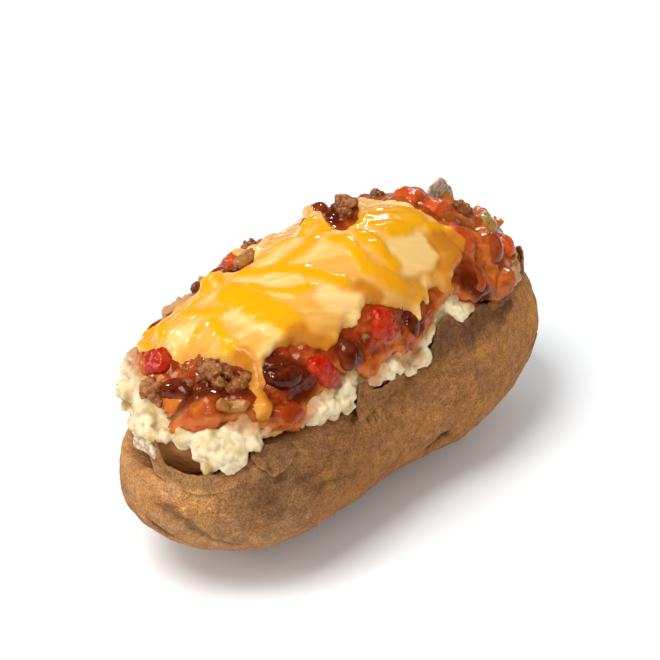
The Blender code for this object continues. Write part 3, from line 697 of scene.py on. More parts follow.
def drape(name, x, turn, radius, depth, wall):
    """A grid laid over the heap as a closed sheet, cut off past its edge and given a wall inwards."""
    piece, i, t = grid_of(len(x), len(turn))
    piece.name = piece.data.name = name
    j = np.rint(t * (len(turn) - 1)).astype(int)
    put_points(piece, heap.point(x[i], turn[j], radius[i, j]))
    choose(piece)
    bpy.ops.object.mode_set(mode="EDIT")
    bpy.ops.mesh.select_all(action="DESELECT")
    bpy.ops.object.mode_set(mode="OBJECT")
    piece.data.vertices.foreach_set("select", depth[i, j] <= -OVERHANG)
    bpy.ops.object.mode_set(mode="EDIT")
    bpy.ops.mesh.select_mode(type="VERT")
    bpy.ops.mesh.delete(type="VERT")
    edit(piece, normals_make_consistent={"inside": False})
    middle = points_of(piece).mean(0)
    outward = ((points_of(piece) - middle) * normals_of(piece))[:, 2].mean()
    if outward < 0:
        edit(piece, flip_normals={})
    apply(piece, "SOLIDIFY", thickness=wall * MM, offset=-1.0)
    return piece


# ---- settings -----------------------------------------------------------------------
class JacketSettings(bpy.types.PropertyGroup):
    # The pale end, middle and golden end also hold painted light on the lit ends and painted shade in the
    # middle
    pale: colour_property("Pale end", "Dry, thin skin at the stem end", "#B88B5C")
    middle: colour_property("Middle", "Baked skin along the side", "#8A5A31")
    rosy: colour_property("Rosy", "Patches of thinner skin", "#935F40")
    golden: colour_property("Golden end", "Skin at the bud end", "#A87034")
    # The cracks' colour is painted shade in the creases
    dark: colour_property("Cracks", "Skin crisped dark in its cracks", "#432818")
    voxel: bpy.props.FloatProperty(name="Grain", description="Spacing of the skin's mesh", default=0.0009,
                                   unit="LENGTH", min=0.0007)


class FleshSettings(bpy.types.PropertyGroup):
    pale: colour_property("Pale", "Fluffed potato", "#DDC9A2")
    buttery: colour_property("Buttery", "Potato with butter on it", "#B89C5E")
    stained: colour_property("Stained", "Potato that has soaked up chilli", "#B4723A")
    crumb: bpy.props.FloatProperty(name="Crumb", description="Usual crumb across", default=0.0034,
                                   unit="LENGTH")
    count: bpy.props.IntProperty(name="Crumbs", description="How many crumbs stand out", default=1300, min=0)


class ChilliSettings(bpy.types.PropertyGroup):
    # The deep colour darkens the listed dark lines and, as painted shade, the hollows
    deep: colour_property("Deep", "Thick chilli", "#501605")
    middle: colour_property("Middle", "Chilli", "#8C300E")
    thin: colour_property("Thin", "Chilli that has run thin over the flesh", "#C06626")
    lumps: bpy.props.FloatProperty(name="Lumps", description="Height of its lumps", default=0.0010,
                                   unit="LENGTH")


class CheeseSettings(bpy.types.PropertyGroup):
    cream: colour_property("Cream", "Pale cheese", "#EAC27C")
    body: colour_property("Body", "Mixed cheese", "#DEA048")
    yellow: colour_property("Yellow", "Deep yellow ribbons", "#E49C02")
    # The amber colour is partly cheese run thin over the chilli and partly painted shade, on the near side
    # and along the creases
    amber_and_shade: colour_property("Amber", "Cheese that ran thin over chilli", "#BE741A")
    ribbon: bpy.props.FloatProperty(name="Ribbon height", description="How far ribbons stand out",
                                    default=0.0006, unit="LENGTH")


class ToppingSettings(bpy.types.PropertyGroup):
    bean: colour_property("Bean", "Kidney bean's skin", "#3A0E06")
    bean_light: colour_property("Bean, light", "Where the skin thins", "#98401C")
    tomato: colour_property("Tomato", "Stewed tomato", "#A01208")
    tomato_light: colour_property("Tomato, light", "Tomato cooked down to orange", "#C2541E")
    mince: colour_property("Mince", "Browned minced beef", "#6A3416")
    mince_light: colour_property("Mince, light", "Its crumbled edges", "#B87840")
    onion: colour_property("Onion", "Fried onion", "#8E5420")
    onion_light: colour_property("Onion, light", "Its layers", "#A87030")
    pepper: colour_property("Pepper", "Stewed green pepper", "#866428")
    pepper_light: colour_property("Pepper, light", "Its rib", "#A88242")


class StageSettings(bpy.types.PropertyGroup):
    floor: colour_property("Floor", "Seamless paper", "#F4F4F4")
    key: bpy.props.FloatProperty(name="Key light", description="Strength of the large light", default=11.4,
                                 unit="POWER")


# ---- materials ----------------------------------------------------------------------
def skin_material(s):
    """Russet skin, baked dry: matt, sanded with fine light and dark grains, tan, rosy and golden by turns."""
    material, tree, place = new_material("russet_skin_baked")
    crack, net, strip, rim, cork, tone = (
        add(tree, "Attribute", out="Fac", attribute_name=name)
        for name in ("crack", "net", "strip", "rim", "cork", "tone"))
    # Patches of 22, 13 and 9 mm; mottles of 2.5 mm; bran of 0.6 and 0.3 mm, a little coarse so that it
    # shows; the cork's speckle of 1.2 mm; and for the bump a roughness of 0.9 mm
    patch, rosy, gold, mottle, bran, fine, speckle, rough = (
        add(tree, "MapRange", {
            "Value": add(tree, "TexNoise", {"Vector": place, "Scale": 1000 / size, "Detail": detail,
                                            "Roughness": 0.6}),
            "From Min": 0.34, "From Max": 0.66, "To Min": low, "To Max": high})
        for size, low, high, detail in (
            (22, -0.12, 0.12, 3.0), (13, 0.0, 0.75, 3.0), (9, 0.0, 0.6, 3.0), (2.5, 0.78, 1.16, 2.0),
            (0.6, 0.76, 1.26, 2.0), (0.3, 0.84, 1.2, 2.0), (1.2, 0.0, 1.0, 3.0), (0.9, 0.0, 1.0, 4.0)))
    # Pale at the left end, darker in the middle, golden at the right end: partly the skin's own colour,
    # partly painted light on the two lit ends and painted shade along the shaded middle
    zone = add(tree, "MapRange", {"Value": add(tree, "SeparateXYZ", {0: place}),
                                  "From Min": -0.075, "From Max": 0.075})
    zone = add(tree, "Math", {0: patch, 1: zone}, operation="ADD")
    base = add(tree, "ValToRGB", {0: zone}, ramp=[
        (0.0, s.pale), (0.13, s.pale), (0.28, s.middle), (0.58, s.middle), (0.9, s.golden), (1.0, s.golden)])
    # Rosy and golden patches, the net's warmth, painted shade in the cracks, the torn strips and their rims
    for cover, share, colour in (
            (rosy, 1, s.rosy), (gold, 1, s.golden), (net, 0.5, linear("#A8713A")), (crack, 1, s.dark),
            (strip, 0.85, linear("#5E3C26")), (rim, 0.6, linear("#9A6636"))):
        cover = add(tree, "Math", {0: cover, 1: share}, operation="MULTIPLY")
        base = add(tree, "Mix", {0: cover, 6: base, 7: colour}, out=2, data_type="RGBA")
    # The russet net: paler threads about 1.1 mm apart, wavering
    sway = add(tree, "TexNoise", {"Vector": place, "Scale": 500.0, "Detail": 2.0}, out=1)
    sway = add(tree, "VectorMath", {0: sway, "Scale": 0.0016}, operation="SCALE")
    sway = add(tree, "VectorMath", {0: place, 1: sway}, operation="ADD")
    thread = add(tree, "TexVoronoi", {"Vector": sway, "Scale": 900.0}, feature="DISTANCE_TO_EDGE")
    thread = add(tree, "MapRange", {"Value": thread, "From Min": 0.02, "From Max": 0.1,
                                    "To Min": 1.0, "To Max": 0.0})
    strong = add(tree, "MapRange", {"Value": net, "To Min": 0.12, "To Max": 0.6})
    thread = add(tree, "Math", {0: thread, 1: strong, 2: 1.0}, operation="MULTIPLY_ADD")
    # The tone attribute scales the colour: the skin's patches and, below the slit, painted shade
    shade = add(tree, "MapRange", {"Value": tone, "To Min": 0.4, "To Max": 1.6})
    for factor in (mottle, bran, fine, thread):
        shade = add(tree, "Math", {0: shade, 1: factor}, operation="MULTIPLY")
    base = add(tree, "VectorMath", {0: base, "Scale": shade}, operation="SCALE")
    pale = add(tree, "ValToRGB", {0: speckle}, ramp=[(0.2, linear("#A4886C")), (0.8, linear("#DCC6AC"))])
    base = add(tree, "Mix", {0: cork, 6: base, 7: pale}, out=2, data_type="RGBA")
    bump = add(tree, "Bump", {"Height": rough, "Strength": 0.6, "Distance": 0.0003})
    shader = add(tree, "BsdfPrincipled", {
        "Base Color": base, "Roughness": 0.85, "Normal": bump, "Specular IOR Level": 0.15})
    add(tree, "OutputMaterial", {"Surface": shader})
    return material


def flesh_material(s):
    """Baked potato flesh, forked loose: floury, slightly see-through, stained by chilli where it touches."""
    material, tree, place = new_material("potato_flesh_fluffed")
    stain, hollow, shade = (
        add(tree, "Attribute", out="Fac", attribute_name=name) for name in ("stain", "hollow", "shade"))
    patch = add(tree, "TexNoise", {"Vector": place, "Scale": 160.0, "Detail": 3.0})
    patch = add(tree, "MapRange", {"Value": patch, "From Min": 0.48, "From Max": 0.68})
    hollow = add(tree, "MapRange", {"Value": hollow, "From Min": 0.48, "From Max": 0.8, "To Max": 0.7})
    base = s.pale
    # Butter, chilli, the shade in the pits, and the brown skin inside the pocket
    for cover, colour in ((patch, s.buttery), (stain, s.stained), (hollow, linear("#C09E66")),
                          (shade, linear("#A8703E"))):
        base = add(tree, "Mix", {0: cover, 6: base, 7: colour}, out=2, data_type="RGBA")
    floury = add(tree, "TexNoise", {"Vector": place, "Scale": 1400.0, "Detail": 3.0})
    bump = add(tree, "Bump", {"Height": floury, "Strength": 0.4, "Distance": 0.0003})
    shader = add(tree, "BsdfPrincipled", {
        "Base Color": base, "Roughness": 0.55, "Normal": bump, "IOR": 1.38, "Subsurface Weight": 0.35,
        "Subsurface Scale": 0.002, "Subsurface Radius": (1.0, 0.8, 0.5)})
    add(tree, "OutputMaterial", {"Surface": shader})
    return material


def chilli_material(s):
    """Cooked tomato chilli: glossy with fat, darker along listed lines, with painted shade in its hollows,
    and orange where it is thin.
    """
    material, tree, place = new_material("chilli_sauce_cooked")
    thin, dark, hollow = (
        add(tree, "Attribute", out="Fac", attribute_name=name) for name in ("thin", "dark", "hollow"))
    swirl = add(tree, "TexNoise", {"Vector": place, "Scale": 220.0, "Detail": 4.0, "Distortion": 0.6})
    swirl = add(tree, "MapRange", {"Value": swirl, "From Min": 0.35, "From Max": 0.7,
                                   "To Min": -0.35, "To Max": 0.55})
    tone = add(tree, "Math", {0: thin, 1: swirl}, operation="ADD")
    base = add(tree, "ValToRGB", {0: tone}, ramp=[(0.0, s.middle), (1.0, s.thin)])
    # Darker along the listed lines, and painted shade in the hollows, both in the deep colour
    dark = add(tree, "Math", {0: dark, 1: 0.9}, operation="MULTIPLY")
    hollow = add(tree, "MapRange", {"Value": hollow, "From Min": 0.5, "From Max": 1.0, "To Max": 0.5})
    for cover in (dark, hollow):
        base = add(tree, "Mix", {0: cover, 6: base, 7: s.deep}, out=2, data_type="RGBA")
    ripple = add(tree, "TexNoise", {"Vector": place, "Scale": 700.0, "Detail": 2.0})
    bump = add(tree, "Bump", {"Height": ripple, "Strength": 0.35, "Distance": 0.0005})
    shader = add(tree, "BsdfPrincipled", {
        "Base Color": base, "Roughness": 0.14, "Normal": bump, "IOR": 1.33, "Subsurface Weight": 0.12,
        "Subsurface Scale": 0.0012, "Subsurface Radius": (1.0, 0.35, 0.12),
        "Specular Tint": (1.0, 0.9, 0.8, 1.0)})
    add(tree, "OutputMaterial", {"Surface": shader})
    return material


def cheese_material(s):
    """Melted cheese sauce of two cheeses, poured: satin to glossy, cream and yellow in ribbons, with
    painted shade in amber on its near side and along its creases, and cream painted as highlight on its
    raised streaks.
    """
    material, tree, place = new_material("melted_cheese_poured")
    base = s.body
    # Cream and yellow; amber, partly painted shade; and painted shadow along the creases
    for name, share, colour in (("cream", 1, s.cream), ("yellow", 1, s.yellow), ("amber_and_shade", 1, s.amber_and_shade),
                                ("crease_and_shade", 0.4, s.amber_and_shade)):
        cover = add(tree, "Attribute", out="Fac", attribute_name=name)
        cover = add(tree, "Math", {0: cover, 1: share}, operation="MULTIPLY")
        base = add(tree, "Mix", {0: cover, 6: base, 7: colour}, out=2, data_type="RGBA")
    ripple = add(tree, "TexNoise", {"Vector": place, "Scale": 260.0, "Detail": 2.0})
    bump = add(tree, "Bump", {"Height": ripple, "Strength": 0.2, "Distance": 0.0006})
    shader = add(tree, "BsdfPrincipled", {
        "Base Color": base, "Roughness": 0.2, "Normal": bump, "IOR": 1.31, "Subsurface Weight": 0.2,
        "Subsurface Scale": 0.002, "Subsurface Radius": (1.0, 0.55, 0.12),
        "Specular Tint": (1.0, 0.95, 0.85, 1.0)})
    add(tree, "OutputMaterial", {"Surface": shader})
    return material


def topping_material(name, dark, light, size, roughness, bump_size, scatter, pits):
    """A cooked piece glazed with sauce: two tones in patches, with painted shade darkening its hollows, under
    a wet film.
    """
    material, tree, place = new_material(name)
    patch = add(tree, "TexNoise", {"Vector": place, "Scale": 1 / size, "Detail": 4.0, "Roughness": 0.6})
    patch = add(tree, "MapRange", {"Value": patch, "From Min": 0.3, "From Max": 0.7,
                                   "To Min": -0.35, "To Max": 0.35})
    tone, hollow = (add(tree, "Attribute", out="Fac", attribute_name=name) for name in ("tone", "hollow"))
    tone = add(tree, "Math", {0: tone, 1: patch}, operation="ADD")
    base = add(tree, "ValToRGB", {0: tone}, ramp=[(0.0, dark), (1.0, light)])
    # Painted shade: the colour darkens in the hollows, down to the factor pits
    hollow = add(tree, "MapRange", {"Value": hollow, "From Min": 0.5, "From Max": 1.0,
                                    "To Min": 1.0, "To Max": pits})
    base = add(tree, "VectorMath", {0: base, "Scale": hollow}, operation="SCALE")
    grain = add(tree, "TexNoise", {"Vector": place, "Scale": 4 / size, "Detail": 3.0})
    bump = add(tree, "Bump", {"Height": grain, "Strength": 0.4, "Distance": bump_size})
    shader = add(tree, "BsdfPrincipled", {
        "Base Color": base, "Roughness": roughness, "Normal": bump, "IOR": 1.34,
        "Subsurface Weight": scatter, "Subsurface Scale": 0.0012, "Subsurface Radius": (1.0, 0.3, 0.12),
        "Specular Tint": (1.0, 0.9, 0.8, 1.0)})
    add(tree, "OutputMaterial", {"Surface": shader})
    return material


# ---- pieces -------------------------------------------------------------------------
class POTATO_OT_jacket(bpy.types.Operator):
    """Adds the potato's skin: netted, cracked and dented, with torn strips along the slit"""
    bl_idname = "potato.jacket"
    bl_label = "Jacket"

    def execute(self, context):
        s = context.scene.potato_jacket
        piece = copy_of("jacket_skin", "potato_jacket")
        apply(piece, "SUBSURF", levels=2, render_levels=2)
        points, normals = fused(piece, s.voxel, 0.5, 4)
        turn = np.degrees(np.arctan2(points[:, 1], points[:, 2] - CORE_HEIGHT))
        places = np.column_stack([points[:, 0], turn * DEGREE])
        places = warped(places, 4.0, 0.9, 31)
        lift = 0.45 * unevenness(points, 11.0, 1, 3) + 0.2 * unevenness(points, 2.6, 2, 3)
        crack = np.zeros(len(points))
        for line, half, depth in CRACKS:
            cover = 1 - soft_step(distance_to(places, line), half * 0.3, half * 2.2)
            lift -= 1.3 * depth * cover
            # Painted shade: the cracks are coloured darker the deeper they are
            crack = np.maximum(crack, cover * min(1, depth * 1.6))
        net, tone = np.zeros(len(points)), np.full(len(points), 0.5)
        for netted in NETTED:
            net += spot(places, *netted)
        # Patches of tone: partly the skin's own colour, partly painted shade below the slit
        for *oval, gain in SKIN_SPOTS_AND_SHADE:
            tone += gain * spot(places, *oval)
        net = np.minimum(net, 1)
        lift += 0.9 * net * unevenness(points, 1.9, 3, 2)
        lift *= soft_step(points[:, 2], 0.0, 3.0)
        points += normals * lift[:, None]
        points[:, 2] = np.maximum(points[:, 2], 0)
        put_points(piece, points)
        for name, values in (("tone", tone), ("crack", crack), ("net", net)):
            put_values(piece, name, values)
        strips = [strip_of(*strip, 40 + k) for k, strip in enumerate(STRIPS)]
        # The laps' darkness is partly painted shade under the overhanging flesh
        for k, (edge, dark) in enumerate(LAPS_AND_SHADE):
            at, turn = np.array(edge, float).T
            top = heap.point(at, turn, heap.read(heap.core, at, turn) + 0.7)
            low = np.full(len(at), -101.0)
            foot = heap.point(at, low, heap.read(heap.core, at, low) + 0.2)
            strips.append(strip_of(top, foot, 0.5, dark, 0, 60 + k))
        piece = join("jacket_skin", [piece, *strips])
        settle(piece, ["potato_jacket"], skin_material(s))
        return {"FINISHED"}


class POTATO_OT_flesh(bpy.types.Operator):
    """Adds the fluffed flesh, with loose crumbs round its edges"""
    bl_idname = "potato.flesh"
    bl_label = "Fluffed flesh"

    def execute(self, context):
        s = context.scene.potato_flesh
        core = copy_of("fluffed_crumb", "fluffed_flesh")
        apply(core, "SUBSURF", levels=2, render_levels=2)
        points, normals = points_of(core), normals_of(core)
        x, turn, radius = heap.around(points)
        pocket = soft_step(-x, 61, 64) * soft_step(-points[:, 1], 0, 4)
        pocket *= soft_step(POCKET_TOP - points[:, 2], -1, 1.5)
        points -= normals * (0.5 + 1.1 * pocket[:, None])
        put_points(core, points)
        rng = np.random.default_rng(11)
        cube, faces = master_of("primitive_cube_add", 2, size=1.5)
        cube = 0.55 * cube + 0.45 * cube / np.linalg.norm(cube, axis=1)[:, None]
        shapes = [cube * (1 + 0.35 * unevenness(cube, 0.9, 50 + number, 2))[:, None] for number in range(8)]
        blobs = []

        def crumb(x, turn, radius, size):
            spin = spun(rng)
            blob = shapes[rng.integers(8)] * rng.uniform(0.65, 1.2, 3) * size
            blobs.append(blob @ spin + heap.point(x, turn, radius))

        shown = np.where(heap.flesh > heap.jacket - 0.6, heap.flesh, 0)
        for _ in range(s.count * 3):
            if len(blobs) >= s.count:
                break
            x = rng.uniform(-68, 64)
            turn = -rng.uniform(56, 96) if rng.random() < 0.7 else rng.uniform(48, 92)
            if x < -57:
                turn = rng.uniform(-96, 92)
            radius = heap.height(shown, x, turn)
            if radius < 14 or turn < along(FLESH_EDGE, x)[0] + 2.5:
                continue
            size = s.crumb / MM / 2 * rng.choice((0.35, 0.5, 0.7, 1.0, 1.35), p=(0.3, 0.25, 0.2, 0.15, 0.1))
            crumb(x, turn, radius - size * rng.uniform(-0.5, 0.4), size)
        for x, turn, out, size in CHUNKS:
            radius = heap.height(heap.flesh, x, max(min(turn, 86), -86))
            crumb(x, turn, radius + out, size)
        piece = join("fluffed_crumb", [core, massed("crumbs", blobs, faces)])
        points, normals = fused(piece, FLESH_GRAIN, 0.4, 1)
        jagged = 0.3 - 0.65 * np.abs(unevenness(points, 1.9, 4, 2))
        jagged += 0.25 * np.abs(unevenness(points, 0.9, 5, 2))
        points += normals * (0.55 * jagged + 0.2 * unevenness(points, 1.2, 6, 3))[:, None]
        put_points(piece, points)
        x, turn, radius = heap.around(points)
        places = np.column_stack([x, turn * DEGREE])
        reach = depth_inside(warped(places, 3.0, 1.5, 5), CHILLI_EDGE)
        put_values(piece, "stain", 0.8 * soft_step(reach, -2.4, 0.6) * np.interp(x, (-65, -58), (0.25, 1)))
        # Painted shade in the pits between the crumbs
        put_values(piece, "hollow", hollows(piece, 4, 0.5))
        sunk = soft_step(heap.read(heap.flesh, x, turn) - radius, 0.5, 1.5) * soft_step(-points[:, 1], -2, 1)
        sunk *= soft_step(-x, 59, 61) * soft_step(POCKET_TOP - points[:, 2], 0, 1.2)
        put_values(piece, "shade", sunk)
        settle(piece, ["fluffed_flesh"], flesh_material(s))
        return {"FINISHED"}


class POTATO_OT_chilli(bpy.types.Operator):
    """Adds the chilli: a glossy lumpy layer that runs down between the crumbs"""
    bl_idname = "potato.chilli"
    bl_label = "Chilli sauce"

    def execute(self, context):
        s = context.scene.potato_chilli
        base = np.maximum(heap.close(heap.chilli, 6.0), heap.core + 0.5)
        base = heap.blur(base, 1.0)
        chunks = np.maximum(heap.chunks - base, 0)
        # The sauce climbs a little up each topping, and drowns the lowest
        around = heap.blur(heap.widen(chunks, 1.0), 1.2)
        drowned = heap.blur(heap.widen(heap.measure(DROWNED), 1.0), 1.0)
        x = np.concatenate([np.arange(-67.5, -56, 0.26), np.arange(-56, 60, 0.52), np.arange(60, 66.6, 0.3)])
        turn = np.arange(-104.0, 74.0, 1.05)
        places = places_over(x, turn)
        gx, gt = places[..., 0].ravel(), places[..., 1].ravel() / DEGREE
        radius = heap.read(base, gx, gt)
        cover = np.interp(gx, (15, 34), (0.42, 0.8)) * heap.read(around, gx, gt)
        cover = np.maximum(np.minimum(cover, 2.8), heap.read(drowned, gx, gt) + 0.1 - radius)
        flat = heap.point(gx, gt, radius)
        lumps = unevenness(flat, 4.2, 6, 3) * s.lumps / MM + 0.5 * np.abs(unevenness(flat, 1.9, 7, 2))
        lumps *= np.interp(gx, (-64, -56, 20, 34), (0.35, 1, 1, 0.7))
        depth = depth_inside(warped(places, 3.5, 1.0, 8), CHILLI_EDGE)
        radius = (radius + lumps + cover).reshape(depth.shape)
        # Where the heap falls away at its left end, the edge tucks in deeper
        steep = np.clip(np.abs(np.gradient(heap.blur(radius, 1.0), x, axis=0)), 0, 4)
        radius = radius + rim_of(depth, 1.6) * (1 + steep * (x < -54)[:, None])
        end = soft_step(-x, 56, 59)[:, None]
        radius = end * heap.blur(radius, 1.3) + (1 - end) * radius
        piece = drape("chilli_layer", x, turn, radius, depth, CHILLI_WALL)
        heap.sauce = np.stack([np.interp(heap.x, x, radius[:, j]) for j in range(len(turn))], axis=1)
        heap.sauce = np.stack([np.interp(heap.turn, turn, row) for row in heap.sauce])
        points = points_of(piece)
        px, pt, _ = heap.around(points)
        flat = np.column_stack([px, pt * DEGREE])
        thin = 1 - soft_step(depth_inside(flat, CHILLI_EDGE) + 0.8 * unevenness(points, 3.0, 9, 2), 0.2, 5.0)
        orange = 0.8 * soft_step(-pt, 54, 62) * np.exp(-((px + 7) / 3.4) ** 2)
        thin = np.max([thin, orange, *along(CHILLI_THIN, px)], axis=0)
        put_values(piece, "thin", thin)
        put_values(piece, "dark", strokes(flat, DARK_LINES, 1.5))
        # Painted shade in the chilli's hollows
        put_values(piece, "hollow", hollows(piece, 3, 0.25))
        settle(piece, ["chilli_sauce"], chilli_material(s))
        return {"FINISHED"}


class POTATO_OT_cheese(bpy.types.Operator):
    """Adds the melted cheese: a thick sheet in cream and yellow ribbons, with a tongue and drips"""
    bl_idname = "potato.cheese"
    bl_label = "Melted cheese"

    def execute(self, context):
        s = context.scene.potato_cheese
        under = heap.blur(np.maximum(heap.laid(), heap.chunks), 1.1)
        top = heap.blur(heap.widen(heap.cheese, 1.0), 1.6)
        inner = soft_step(heap.blur((heap.cheese > 1).astype(float), 2.0), 0.45, 0.95)
        body = np.maximum(under + 0.7, inner * top + (1 - inner) * (under + 0.7))
        step, turn_step = 0.4, 0.8
        x = np.arange(-54.0, 40.0, step)
        turn = np.arange(-74.0, 66.0, turn_step)
        grid = places_over(x, turn)
        gx, gt = grid[..., 0].ravel(), grid[..., 1].ravel() / DEGREE
        radius = heap.read(heap.blur(body, 0.8), gx, gt).reshape(grid.shape[:2])
        places = warped(grid, 4.0, 0.7, 12)
        depth = depth_inside(warped(grid, 2.5, 0.6, 14), CHEESE_EDGE)
        yellow, cream = strokes(places, YELLOW_LINES, 1.3), 0.8 * strokes(places, CREAM_LINES, 1.9)
        # Creases are dented and also painted darker, as painted shadow at the dome's edge
        amber_and_shade, crease_and_shade = strokes(places, AMBER_AND_SHADE_LINES, 1.6), strokes(places, CREASES, 1.1)
        # Painted shade: the heap's near side turns amber, partly also cheese run thin over the chilli
        amber_and_shade = np.maximum(amber_and_shade, 0.45 * soft_step(-gt, 18, 55).reshape(amber_and_shade.shape) * (1 - cream))
        rise = s.ribbon / MM * (yellow - 0.5 * cream) - 0.45 * crease_and_shade
        puff = 0.5 * np.exp(-((depth - 2.0) / 1.4) ** 2)
        slow = unevenness(np.column_stack([gx, gt * DEGREE, gx * 0]), 9.0, 15, 2).reshape(radius.shape)
        streak = np.column_stack([(gx * 0.9 - gt * DEGREE * 0.44) / 6, gt * DEGREE * 0.9 + gx * 0.44, gx * 0])
        streak = unevenness(streak, 2.0, 16, 2).reshape(radius.shape)
        radius = radius + puff + 0.35 * slow + 0.22 * streak
        # Cream painted on the streaks' raised ridges and yellow in their furrows: partly the two cheeses'
        # colours, partly painted highlight on the ridges and painted shade in the furrows
        cream = np.clip(cream + 0.45 * soft_step(streak, 0.0, 0.7) * (1 - yellow), 0, 1)
        yellow = np.clip(yellow + 0.35 * soft_step(-streak, 0.0, 0.7) * (1 - cream), 0, 1)
        chunks = heap.read(heap.widen(heap.blur(heap.chunks, 0.5), 0.5), gx, gt).reshape(radius.shape)
        radius = np.maximum(radius, np.where(depth > 0.8, chunks + 0.5, 0))
        radius = radius + rim_of(depth, 1.7) + rise
        piece = drape("cheese_sheet", x, turn, radius, depth, CHEESE_WALL)
        px, pt, _ = heap.around(points_of(piece))
        i = np.clip(np.rint((px - x[0]) / step).astype(int), 0, len(x) - 1)
        j = np.clip(np.rint((pt - turn[0]) / turn_step).astype(int), 0, len(turn) - 1)
        for name, field in (("yellow", yellow), ("cream", cream), ("amber_and_shade", amber_and_shade), ("crease_and_shade", crease_and_shade)):
            put_values(piece, name, field[i, j])
        settle(piece, ["melted_cheese"], cheese_material(s))
        return {"FINISHED"}


def slid(points, move):
    """The points at the left, slid over the chilli by a step along the potato and a turn."""
    x, turn, radius = heap.around(points)
    above = radius - heap.read(heap.laid(), x, turn)
    new_x, new_turn = x + move[0], turn + move[1]
    new = heap.point(new_x, new_turn, heap.read(heap.laid(), new_x, new_turn) + above)
    return np.where((x < -30)[:, None], new, points)


class POTATO_OT_toppings(bpy.types.Operator):
    """Adds beans, tomato, mince, onion and pepper, one piece for each kind"""
    bl_idname = "potato.toppings"
    bl_label = "Toppings"

    def execute(self, context):
        s = context.scene.potato_toppings
        for number, (start, name, slot, rough, size, look) in enumerate((
                ("bean", "kidney_beans", "kidney_bean", 0.12, 3.0,
                 ("kidney_bean_stewed", s.bean, s.bean_light, 0.005, 0.08, 0.0002, 0.04, 0.8)),
                ("tomato", "tomato_chunks", "stewed_tomato", 0.5, 2.6,
                 ("tomato_stewed", s.tomato, s.tomato_light, 0.003, 0.1, 0.0004, 0.06, 0.6)),
                ("onion", "onion_strips", "fried_onion", 0.3, 2.2,
                 ("onion_fried", s.onion, s.onion_light, 0.003, 0.2, 0.0003, 0.1, 0.6)),
                ("pepper", "pepper_strip", "green_pepper", 0.5, 2.2,
                 ("pepper_stewed", s.pepper, s.pepper_light, 0.003, 0.16, 0.0003, 0.2, 0.7)))):
            nodes = nodes_like(start)
            piece = copy_of(name, *nodes)
            apply(piece, "SUBSURF", levels=2, render_levels=2)
            points, normals = fused(piece, TOPPING_GRAIN, 0.5, 30 if start == "bean" else 12)
            tone = np.full(len(points), 0.5)
            for node in nodes:
                tone[near_node(points, node)] = TONES.get(node, 0.5)
            put_values(piece, "tone", tone)
            for node, depth in SUNK:
                if node in nodes:
                    x, turn, radius = heap.around(points)
                    sunk = heap.point(x, turn, radius - depth)
                    points = np.where(near_node(points, node)[:, None], sunk, points)
            bumps = unevenness(points, size, 20 + number, 2) + 0.3 * unevenness(points, 0.9, 30 + number, 2)
            points += normals * (rough * bumps + (0.6 if start == "pepper" else 0.2))[:, None]
            if start == "onion":
                points = slid(points, ONION_SLIDE)
            put_points(piece, points)
            # Painted shade in the toppings' hollows
            put_values(piece, "hollow", hollows(piece, 6, 0.25))
            settle(piece, nodes, topping_material(*look))
        self.mince(context, s)
        return {"FINISHED"}

    def mince(self, context, s):
        """Each lump is a handful of grains pressed together, then wetted."""
        rng = np.random.default_rng(5)
        nodes = nodes_like("mince")
        ball, faces = master_of("primitive_ico_sphere_add", 0, subdivisions=2, radius=1.0)
        lumps = []
        for node in nodes:
            low, high = box_of(node)
            slip = MINCE_SLIP * (node == "mince_5")
            lumps.append(((low + high) / 2 + slip, (high - low) / 2, 40))
        for x, turn, out, half in MINCE_BITS:
            radius = heap.height(heap.laid(), x, turn)
            lumps.append((heap.point(x, turn, radius + out), np.full(3, half), int(12 * half)))
        blobs = []
        for middle, half, count in lumps:
            for _ in range(count):
                out = rng.normal(size=3)
                out /= np.linalg.norm(out)
                size = min(rng.uniform(0.5, 1.5), half.min() * 0.5)
                spin = spun(rng)
                blob = (ball * size * rng.uniform(0.55, 1.5, 3)) @ spin + middle
                blobs.append(blob + out * (half - size * 0.7) * rng.uniform(0.55, 1.0))
            blobs.append(ball * half * 0.66 + middle)
        piece = massed("mince_lumps", blobs, faces)
        points, normals = fused(piece, MINCE_GRAIN, 0.5, 1)
        points += normals * (0.35 * unevenness(points, 1.1, 27, 3))[:, None]
        put_points(piece, points)
        # Painted shade in the mince's hollows
        put_values(piece, "hollow", hollows(piece, 5, 0.35))
        x, turn, radius = heap.around(points)
        wet = 1 - soft_step(radius - heap.read(heap.laid(), x, turn), 0.5, 3.4)
        put_values(piece, "tone", 0.5 - 0.5 * wet)
        settle(piece, nodes,
               topping_material("beef_mince_browned", s.mince, s.mince_light, 0.0014, 0.2, 0.0003, 0.05, 0.2))


